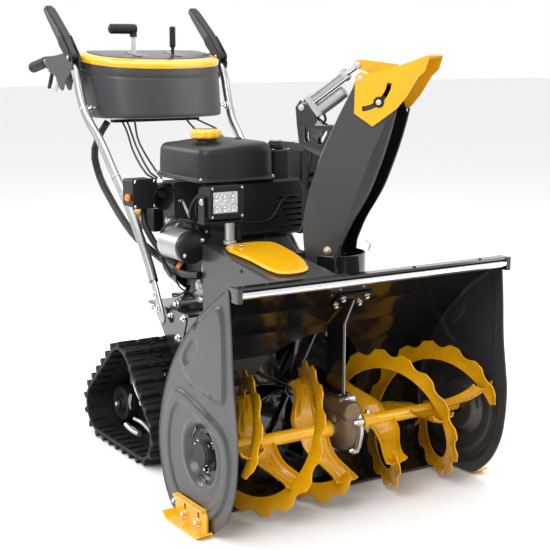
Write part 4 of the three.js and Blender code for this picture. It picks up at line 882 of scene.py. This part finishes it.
tank = loft("tank_shell", [tank_ring(*row) for row in ((6, 754), (-6.5, 754.5), (-7.5, 757), (-6.5, 760.5),
    (0, 761.5), (-1, 766), (-0.5, 800), (0.5, 826, 2), (2.5, 836, 4), (6.5, 843.5, 6), (12, 848, 7),
    (21, 850, 7.5), (55, 851, 4), (95, 851, 1))], "tank_black", "machine")
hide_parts("fuel_tank")
turned("tank_neck_ring", [(33, 0), (33, 7), (30, 10), (30, 13)], (-132, 572, 843), (0, 0, 1), "plastic",
    "machine", 36, 0.001)
turned("tank_gauge", [(17, 0), (17, 3), (14.5, 4), (14.5, 2.6), (0, 2.4)], (-52, 560, 848), (0, 0, 1),
    "plastic_grey", "machine", 28, 0.0006)
turned("tank_vent", [(10, 0), (10, 4), (7, 7), (0, 7.5)], (-20, 600, 848), (0, 0, 1), "plastic", "machine",
    20, 0.0006)
for n, (x, y) in enumerate(((-196, 484), (8, 474), (14, 728), (-190, 730))):
    ball_bolt(f"tank_screw_{n}", (x, y, 761), (0, 0, 1), 4.2, "silver", "machine", 1.3)
pipe("tank_seam", [(-196, 505, 766), (-196, 508, 800), (-190, 512, 830), (-180, 520, 841)], 1.6,
    "tank_black", "machine")


def scalloped(name, centre, radius, waves, levels, look, body):
    count = waves * 8
    rings = []
    for r, z, deep in levels:
        ring = []
        for k in range(count):
            t = 2 * math.pi * k / count
            wave = abs(math.cos(t * waves / 2)) ** 0.6
            rr = r - deep * (1 - wave)
            ring.append(W(centre[0] + math.cos(t) * rr, centre[1] + math.sin(t) * rr, centre[2] + z))
        rings.append(ring)
    return loft(name, rings, look, body)


cap = scalloped("fuel_cap_shell", (-132, 572, 858.4), 41, 11, [(33, 0, 0), (36, 0.6, 0.5), (39.5, 3, 3),
    (41, 7, 4), (41, 15, 4), (39.5, 19.5, 3.5), (35.5, 22.6, 1.5), (30, 23.6, 0), (14, 23.9, 0),
    (1, 24, 0)], "yellow_gloss", "cap")
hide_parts("fuel_cap")

LAMP = (-161, 448, 712)
block("lamp_window", -165 - 36, -165 + 36, 417.4, 421.5, 712 - 27, 712 + 27, "lens_back", "lamp", 0.001)
for n, (dx, dz) in enumerate([(a, b) for a in (-27, -4, 19) for b in (-13, 13)]):
    c = (LAMP[0] + dx, 418.2, LAMP[2] + dz)
    turned(f"lamp_cell_{n}", [(11, 0), (11.2, 1.4), (10.2, 2.2), (8.4, 1.2), (6, 0.4), (3.2, 0.2), (3, 1.8),
        (0, 2)], c, (0, -1, 0), "lens", "lamp", 24)
frame_line = [(-209, 671), (-113, 671), (-113, 753), (-209, 753)]
hole_line = [(-200, 686), (-130, 686), (-130, 738), (-200, 738)]
verts = [W(a, 414.5, b) for a, b in frame_line + hole_line] + [W(a, 421,
    b) for a, b in frame_line + hole_line]
faces = []
for k in range(4):
    j = (k + 1) % 4
    faces += [[k, j, 4 + j, 4 + k], [8 + k, 8 + j, 12 + j, 12 + k], [k, j, 8 + j, 8 + k],
        [4 + k, 4 + j, 12 + j, 12 + k]]
emit("lamp_bezel", verts, faces, "plastic", "lamp", bevel=0.0022)
for n, (x, z) in enumerate(((-203, 677), (-119, 677), (-119, 747), (-203, 747))):
    turned(f"lamp_screw_{n}", [(3.6, 0), (3.4, 1.2), (2, 1.8)], (x, 414.6, z), (0, -1, 0), "silver", "lamp",
        14)
for n in range(8):
    z = 680 + n * 9
    block(f"lamp_fin_{n}", -208, -114, 452, 477, z, z + 2.4, "plastic", "lamp", 0.0004)
for side in (-1, 1):
    x = LAMP[0] + side * 52
    turned(f"lamp_ear_knob_{side}", [(9, 0), (9, 3), (5, 5), (5, 7)], (x, 448, 712), (side, 0, 0), "silver",
        "machine", 20, 0.0005)
turned("lamp_post_collar", [(17, 0), (17, 8), (13.5, 11)], (-134, 452, 601), (0, 0, 1), "silver", "machine",
    28, 0.0008)
turned("lamp_post_tube", [(12.5, 0), (12.5, 54)], (-134, 452, 606), (0, 0, 1), "silver", "machine", 28,
    0.0006)
pipe("lamp_lead", [(-150, 470, 690), (-168, 500, 664), (-158, 506, 640), (-120, 486, 628), (-60, 482, 618),
    (40, 484, 624), (120, 500, 640)], 3.2, "plastic", "machine")
turned("lamp_tap", [(9, 0), (9, 18), (6, 20), (6, 34)], (-100, 470, 606), (0, 0, 1), "plastic", "machine",
    20, 0.0008)
block("lamp_tap_handle", -112, -88, 465, 475, 640, 648, "plastic", "machine", 0.002)

can = turned("starter_can", [(36, 0), (40.5, 3), (40.5, 108), (37, 112)], (-215, 498, 592), (0, 1, 0),
    "starter_silver", "machine", 40, 0.001)
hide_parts("starter_motor")
turned("starter_end_cap", [(0, -9), (20, -8), (34, -5), (41.6, 1), (41.6, 15), (40.6, 17)],
    (-215, 498, 592), (0, 1, 0), "plastic", "machine", 40, 0.001)
turned("starter_nose", [(41, 0), (41, 8), (30, 16), (28, 34)], (-215, 606, 592), (0, 1, 0), "cast_light",
    "machine", 32, 0.001)
turned("starter_solenoid", [(17.5, 0), (18, 3), (18, 66), (17, 80)], (-172, 518, 632), (0, 1, 0), "plastic",
    "machine", 28, 0.001)
for n, angle in enumerate((35, 215)):
    t = math.radians(angle)
    ball_bolt(f"starter_bolt_{n}", (-215 + math.cos(t) * 31, 492, 592 + math.sin(t) * 31), (0, -1, 0), 4.5,
        "chrome", "machine", 1.3)
for n, (x, z) in enumerate(((-180, 640), (-164, 626))):
    ball_bolt(f"solenoid_stud_{n}", (x, 516, z), (0, -1, 0), 3.6, "chrome", "machine", 1.4)

intake = block("intake_case", -300, -236, 655, 722, 680, 752, "plastic", "machine", 0.005)
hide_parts("intake_box")
block("intake_case_lid", -303, -233, 651.5, 657, 677, 755, "plastic", "machine", 0.0025)
for n, (x, z) in enumerate(((-296, 684), (-241, 684), (-241, 748), (-296, 748))):
    turned(f"intake_screw_{n}", [(4.6, 0), (4.4, 2), (2.4, 3)], (x, 651.6, z), (0, -1, 0), "chrome",
        "machine", 14)
turned("intake_horn", [(14, 0), (15, 22), (19, 40), (26, 54), (31, 62), (31.5, 66), (30, 67), (27.5, 63),
    (20, 48), (13, 30), (0, 29)], (-222, 702, 704), (0, -1, 0), "plastic", "machine", 40)
turned("intake_throat", [(20, 0), (21, 6), (21, 26), (18, 30)], (-206, 690, 716), (-0.2, -1, 0.1),
    "plastic", "machine", 28, 0.001)
turned("choke_knob", [(4, -8), (4, 0), (9, 2), (10, 8), (7, 12), (0, 13)], (-300, 676, 706), (-1, 0, 0),
    "orange", "machine", 24, 0.0006)
block("intake_arm", -240, -182, 672, 712, 690, 736, "plastic", "machine", 0.004)

ring = pipe("recoil_loop_grip", [(-206, 824, 642), (-203, 824, 612), (-182, 824, 600), (-150, 824, 604),
    (-134, 824, 626), (-140, 824, 648), (-170, 824, 654)], 7.5, "yellow_gloss", "starter_pull", cyclic=True,
    resolution=8)
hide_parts("recoil_handle")
pipe("recoil_rope", [(-170, 806, 648), (-170, 824, 652)], 2.4, "plastic", "starter_pull", smooth=False)
turned("recoil_guide", [(12, 0), (12, 5), (8, 7)], (-170, 806, 648), (0, 1, 0), "plastic", "machine", 24,
    0.0006)

# Levers, hoses, leads and fasteners on the near side of the engine
HOSES = [("hose_breather", 8.5, [(-250, 690, 690), (-262, 676, 650), (-256, 652, 606), (-236, 624, 566),
    (-210, 596, 540)]), ("hose_fuel", 4.5, [(-150, 500, 752), (-196, 494, 724), (-214, 506, 690),
    (-204, 520, 650), (-186, 528, 610), (-180, 540, 560)]), ("hose_fuel_return", 4.0,
    [(-140, 492, 754), (-182, 486, 738), (-200, 498, 706), (-192, 512, 664), (-172, 520, 622)]),
    ("lead_starter", 4.0, [(-180, 508, 640), (-206, 514, 656), (-236, 560, 650), (-244, 610, 620),
    (-232, 640, 560), (-210, 620, 500)]), ("lead_throttle", 2.4, [(-150, 660, 560), (-180, 640, 520),
    (-200, 610, 480), (-170, 590, 450), (-150, 600, 430)]),
    ("lead_spark", 3.6, [(100, 600, 600), (60, 560, 604), (0, 500, 600), (-60, 492, 590),
    (-110, 496, 560)]), ("hose_drain", 6.0, [(-120, 700, 450), (-150, 660, 440), (-176, 620, 436),
    (-196, 590, 440)]), ("lead_ground", 2.0, [(-200, 560, 470), (-214, 590, 452), (-200, 640, 448),
    (-170, 660, 440)]), ("lead_coil", 2.4, [(-112, 520, 560), (-140, 510, 520), (-160, 520, 480),
    (-150, 540, 440)]),]
for name, radius, path in HOSES:
    pipe(name, path, radius, "plastic", "machine")
pipe("hose_clip", [(-206, 594, 536), (-200, 588, 531)], 10.5, "orange", "machine", smooth=False)
for n, (x, y, z, r, length, d, look) in enumerate(((-150, 690, 602, 20, 40, (-1, 0, 0), "cast_light"),
        (-176, 668, 640, 12, 30, (-1, -0.3, 0), "silver"), (-130, 560, 520, 24, 18, (-1, 0, 0),
        "cast_light"), (-128, 600, 470, 18, 20, (-1, 0, 0), "silver"), (-150, 540, 446, 12, 26, (-1, 0, 0),
        "silver"), (-118, 640, 560, 30, 16, (-1, 0, 0), "cast"), (-160, 612, 436, 9, 34, (-1, 0, 0),
        "bright"), (-120, 520, 500, 14, 30, (-1, -0.2, 0), "cast_light"))):
    turned(f"engine_boss_{n}", [(r, 0), (r, length * 0.7), (r * 0.8, length * 0.86), (r * 0.5, length)],
        (x, y, z), d, look, "machine", 28, 0.001)
for n, (x, y, z) in enumerate(((-132, 530, 560), (-132, 700, 560), (-132, 530, 480), (-132, 700, 480),
        (-150, 620, 446), (-190, 694, 720), (-184, 660, 690), (-150, 580, 446))):
    ball_bolt(f"engine_bolt_{n}", (x + 20, y, z), (-1, 0, 0), 6, "chrome", "machine", 1.4)
prism("engine_bracket", "x", rounded([(500, 430), (500, 500), (530, 520), (560, 470), (600, 460),
    (640, 430)], 1), -150, -145, "silver", "machine", 0.0012)
prism("carburettor_plate", "y", rounded([(-190, 640), (-130, 640), (-120, 600), (-140, 570), (-180, 580)],
    1), 640, 652, "cast_light", "machine", 0.0015)
prism("governor_arm", "x", rounded([(560, 620), (572, 624), (640, 690), (636, 700), (600, 668), (556, 630)],
    1), -170, -166.5, "silver", "machine", 0.0008)
spring = [(-168 + 4 * math.cos(k * 1.25), 600 + k * 0.9, 640 + 4 * math.sin(k * 1.25)) for k in range(60)]
pipe("governor_spring", spring, 0.9, "silver", "machine", steps=3, resolution=2)
for side in (-1, 1):
    for n, (y, z) in enumerate(((599, 402), (560, 350), (700, 404), (530, 406))):
        ball_bolt(f"wing_bolt_{side}_{n}", (side * 225.6, y, z), (side, 0, 0), 6.5, "chrome", "machine",
            1.4)
    rod(f"deck_rod_{side}", (side * 212, 590, 432), (side * 130, 590, 432), 8, "silver", "machine", 24)
    ball_bolt(f"deck_rod_end_{side}", (side * 212, 590, 432), (side, 0, 0), 8, "chrome", "machine", 1.4)

# Air box, oil filler and muffler guard
for n in range(6):
    z = 626 + n * 15
    block(f"air_louvre_lip_{n}", 66 - n * 7 - 3, 103, 477.6, 481, z + 6, z + 9.5, "plastic", "machine",
        0.0012)
    if n < 5:
        block(f"air_louvre_short_{n}", 30 - n * 7, 52 - n * 7, 478.8, 480.6, z + 1, z + 5, "gloss_black",
            "machine", 0.0006)
pipe("air_box_bead", [(104, 479.6, 700), (70, 479.6, 708), (48, 479.6, 704), (20, 479.6, 668),
    (4, 479.6, 652), (-80, 479.6, 646)], 2.4, "plastic", "machine")
scalloped("oil_filler_cap", (53, 530, 826), 19, 8, [(12, 0, 0), (18, 1, 1), (20, 4, 2.2), (20, 12, 2.2),
    (18, 16, 1.2), (9, 18.5, 0), (1, 19, 0)], "plastic", "machine")
turned("oil_filler_neck", [(21, 0), (21, 10), (16, 13)], (53, 530, 812), (0, 0, 1), "plastic", "machine",
    32, 0.001)
for n, (x, y) in enumerate(((30, 508), (76, 508), (30, 552))):
    turned(f"tower_screw_{n}", [(3.5, 0), (3.5, 1.5), (2, 2.2)], (x, y, 826), (0, 0, 1), "silver",
        "machine", 12)
for row in range(5):
    for column in range(4):
        x, y = 160 + column * 27 + (row % 2) * 6, 566 + row * 33
        top = 832 - (x - 160) * 0.0926 if x < 268 else 800
        prism(f"guard_vent_{row}_{column}", "z", rounded([(x, y), (x + 18, y), (x + 22, y + 10),
            (x + 18, y + 20), (x, y + 20), (x - 4, y + 10)], 1), top - 1.2, top + 0.8, "gloss_black",
            "machine", 0.0004)
for n in range(6):
    block(f"guard_slat_{n}", 166, 270, 545.8, 549, 634 + n * 26, 639 + n * 26, "plastic", "machine", 0.0012)

# Belt cover lid screw and cover screws
tilt = math.atan2(44, 322)
turned("lid_screw", [(6, 0), (5.5, 2.4), (3, 3.6)], (-128, 420 - 16, 602.4),
    (0, -math.sin(tilt), math.cos(tilt)), "chrome", "machine", 18)
for n, (y, z) in enumerate(((470, 580), (470, 330), (300, 560), (240, 300))):
    turned(f"cover_screw_{n}", [(4.6, 0), (4.4, 1.6), (2.5, 2.4)], (-190, y, z), (-1, 0, 0), "plastic",
        "machine", 14)

# ---------------------------------------------------------------- chute
CHUTE_C, CHUTE_S = math.cos(math.radians(39)), math.sin(math.radians(39))


def chute_at(x, f, z):
    return (105 + x * CHUTE_C + f * CHUTE_S, 335 + x * CHUTE_S - f * CHUTE_C, z)


def chute_put(a, b, d):
    return W(*chute_at(d, a, b))


WALL = [(34, 530), (12, 520), (-30, 524), (-52, 560), (-58, 600), (-60, 630), (-60, 669), (-47, 736),
    (-15, 825), (28, 921), (64, 990), (74, 1020), (88, 1027), (100, 1014), (172, 940), (149, 851),
    (108, 741), (66, 669), (38, 606)]
wall_smooth = rounded(WALL, 2)
for side in (-1, 1):
    # The near wall keeps the chute's charcoal; the far wall, with its fold and hem, is gloss black: painted
    # shade on the side away from the light.
    look = "charcoal" if side < 0 else "gloss_black"
    prism(f"chute_wall_{side}", "x", wall_smooth, side * 73.2, side * 76.2, look, "chute", 0.0008,
        place=chute_put)
    # A flat gloss black strip on the wall between the fold line and the front edge: painted shade for the
    # darker folded flange.
    flange = [(172, 936), (150, 915), (133, 880), (115, 841), (97, 792), (81, 749), (68, 702), (55, 656),
        (36, 612), (26, 560), (34, 540), (40, 600), (66, 667), (86, 701), (107, 741), (128, 794),
        (148, 851), (160, 896)]
    prism(f"chute_flange_shade_{side}", "x", flange, side * 75.6, side * 76.9, "gloss_black", "chute", 0.0,
        place=chute_put)
    prism(f"chute_lining_{side}", "x", wall_smooth, side * 71.9, side * 73, "gloss_black", "chute", 0.0004,
        place=chute_put)
    fold = [(150, 922), (133, 880), (115, 841), (97, 792), (81, 749), (68, 702), (55, 656), (34, 606),
        (20, 572)]
    pipe(f"chute_fold_{side}", [chute_at(side * 76.0, a, b) for a, b in fold], 1.7, look, "chute")
    edge = [(170, 938), (160, 896), (147, 850), (128, 794), (107, 741), (86, 702), (66, 668), (48, 630),
        (38, 606)]
    pipe(f"chute_hem_{side}", [chute_at(side * 75, a, b) for a, b in edge], 2.8, look, "chute")
    ball_bolt(f"chute_base_bolt_{side}", chute_at(side * 76.2, 4, 592), (side * CHUTE_C, side * CHUTE_S, 0),
        6.5, "chrome", "chute", 1.5)
    ball_bolt(f"deflector_pivot_{side}", chute_at(side * 84.2, 84, 1014), (side * CHUTE_C, side * CHUTE_S,
        0), 4.8, "chrome", "deflector_unit", 1.4)
    turned(f"clamp_washer_{side}", [(13, 0), (13, 2.4), (10, 3)], chute_at(side * 84.4, 131, 958),
        (side * CHUTE_C, side * CHUTE_S, 0), "plastic", "chute", 28, 0.0005)
    ball_bolt(f"clamp_nut_{side}", chute_at(side * 87.4, 131, 958), (side * CHUTE_C, side * CHUTE_S, 0),
        5.2, "chrome", "chute", 1.3)
back = [(6, 556), (-30, 594), (-54, 628), (-60, 669), (-47, 736), (-15, 825), (28, 921), (64, 990),
    (76, 1020)]
verts = [W(*chute_at(x, a, b)) for a, b in back for x in (-73, -36, 0, 36, 73)]
faces = [[5 * i + k, 5 * i + k + 1, 5 * i + k + 6,
    5 * i + k + 5] for i in range(len(back) - 1) for k in range(4)]
emit("chute_back_sheet", verts, faces, "gloss_black", "chute", solid=0.0026)
base = turned("chute_base", [(85, 0), (85, 14), (79.5, 17), (79.5, 68), (78.6, 70), (76.5, 70), (76.5, 0)],
    (105, 335, 508), (0, 0, 1), "gloss_black", "chute", 64, 0.0006)
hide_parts("chute_body")
turned("chute_ring", [(92, 0), (92, 7), (80, 7.4), (80, 0)], (105, 335, 500), (0, 0, 1), "gloss_black",
    "chute", 72, 0.001)
for n, x in enumerate((-25, 9)):
    plate = [(-96, 940), (-92, 892), (-86, 846), (-60, 830), (-28, 818), (0, 866), (16, 896), (-22, 897),
        (-46, 914), (-66, 948), (-84, 958)]
    windows = [rounded(hole, 1) for hole in ([(-76, 852), (-73, 904), (-54, 860)], [(-42, 856), (-26, 884),
        (-10, 884), (-30, 846)])]
    cutout(f"actuator_cheek_{n}", plate, windows, x - 2.2, x + 2.2, "gloss_black", "chute", chute_put)
pipe("chute_hook", [chute_at(40, 70, 604), chute_at(40, 84, 596), chute_at(40, 80, 580),
    chute_at(40, 92, 572)], 1.6, "chrome", "chute")

ALPHA = math.atan2(105, 142)


def actuator_at(lx, along_rod, lz):
    f = -81 + along_rod * math.cos(ALPHA) - lz * math.sin(ALPHA)
    return chute_at(-8 + lx, f, 940 + along_rod * math.sin(ALPHA) + lz * math.cos(ALPHA))


def actuator_turned(name, profile, lx, start, lz, look, body, sides=28):
    a, b = Vector(actuator_at(lx, start, lz)), Vector(actuator_at(lx, start + 1, lz))
    return turned(name, profile, tuple(a), b - a, look, body, sides, 0.0006)


actuator_turned("actuator_motor_can", [(16, 0), (16, 62), (15, 64), (15, 78), (12, 80)], 0, 30, -31,
    "starter_silver", "actuator")
actuator_turned("actuator_outer_tube", [(12.8, 0), (12.8, 96)], 0, 34, 0, "bright", "actuator")
actuator_turned("actuator_nose", [(15.4, 0), (16, 2), (16, 10), (13, 13)], 0, 128, 0, "silver", "actuator")
for n, lx in enumerate((-13.5, 13.5)):
    for q, lz in enumerate((9, -9)):
        actuator_turned(f"actuator_rail_{n}_{q}", [(2.6, 0), (2.6, 104)], lx, 30, lz, "chrome", "actuator",
            14)
actuator_turned("actuator_rod_shell", [(6.4, 0), (6.4, 34)], 0, 140, 0, "chrome", "actuator_ram", 24)
side_dir = (-CHUTE_C, -CHUTE_S, 0)
ball_bolt("actuator_base_pin", chute_at(-27.4, -81, 940), side_dir, 5.5, "chrome", "chute", 1.4)
ball_bolt("actuator_eye_pin", chute_at(-24, 61, 1045), side_dir, 5.5, "chrome", "deflector_unit", 1.4)
pipe("actuator_lead", [actuator_at(0, 34, -44), actuator_at(0, 26, -60), chute_at(-16, -60, 880),
    chute_at(-14, -56, 840), chute_at(-20, -62, 790), chute_at(-10, -70, 740)], 3.2, "plastic", "chute")


# ---------------------------------------------------------------- stage
CAMERA_PLACE = (-1.653, -2.174 - Y_CENTRE, 1.087)
CAMERA_HEADING = 32.2
CAMERA_PITCH = 10.56
CAMERA_LENS = 80.0
SKY_STRENGTH = 1.0
FLOOR_CLEARANCE = 0.0005


def stage():
    bpy.ops.mesh.primitive_plane_add(size=60, location=(0, 0, -FLOOR_CLEARANCE))
    floor = bpy.context.object
    floor.name = "studio_floor"
    floor.data.materials.append(material("studio_white", (0.86, 0.86, 0.86), 0.6, vary=0.01, grain=40,
        bump=0.01))
    world = bpy.data.worlds.new("studio")
    bpy.context.scene.world = world
    world.use_nodes = True
    world.node_tree.nodes["Background"].inputs["Color"].default_value = (1, 1, 1, 1)
    world.node_tree.nodes["Background"].inputs["Strength"].default_value = SKY_STRENGTH
    for name, place, size, power in (("key", (-2.6, -2.2, 3.4), 2.4, 110), ("fill", (3.0, -2.6, 2.2), 2.4,
            50), ("top", (0.3, 0.4, 4.2), 3.0, 90), ("rim", (-2.2, 3.0, 2.4), 1.8, 60)):
        light = bpy.data.lights.new(name, "AREA")
        light.size = size
        light.energy = power
        lamp = bpy.data.objects.new(name, light)
        bpy.context.collection.objects.link(lamp)
        lamp.location = place
        lamp.rotation_euler = (Vector((0, 0, 0.5)) - Vector(place)).to_track_quat("-Z", "Y").to_euler()


def camera():
    cam = bpy.data.cameras.new("camera")
    cam.lens = CAMERA_LENS
    cam.sensor_width = 36.0
    eye = bpy.data.objects.new("camera", cam)
    bpy.context.collection.objects.link(eye)
    eye.location = CAMERA_PLACE
    heading, pitch = math.radians(CAMERA_HEADING), math.radians(CAMERA_PITCH)
    look = Vector((math.sin(heading) * math.cos(pitch), math.cos(heading) * math.cos(pitch),
        -math.sin(pitch)))
    eye.rotation_euler = look.to_track_quat("-Z", "Y").to_euler()
    bpy.context.scene.camera = eye


stage()
camera()
bpy.context.scene.view_settings.view_transform = "Standard"
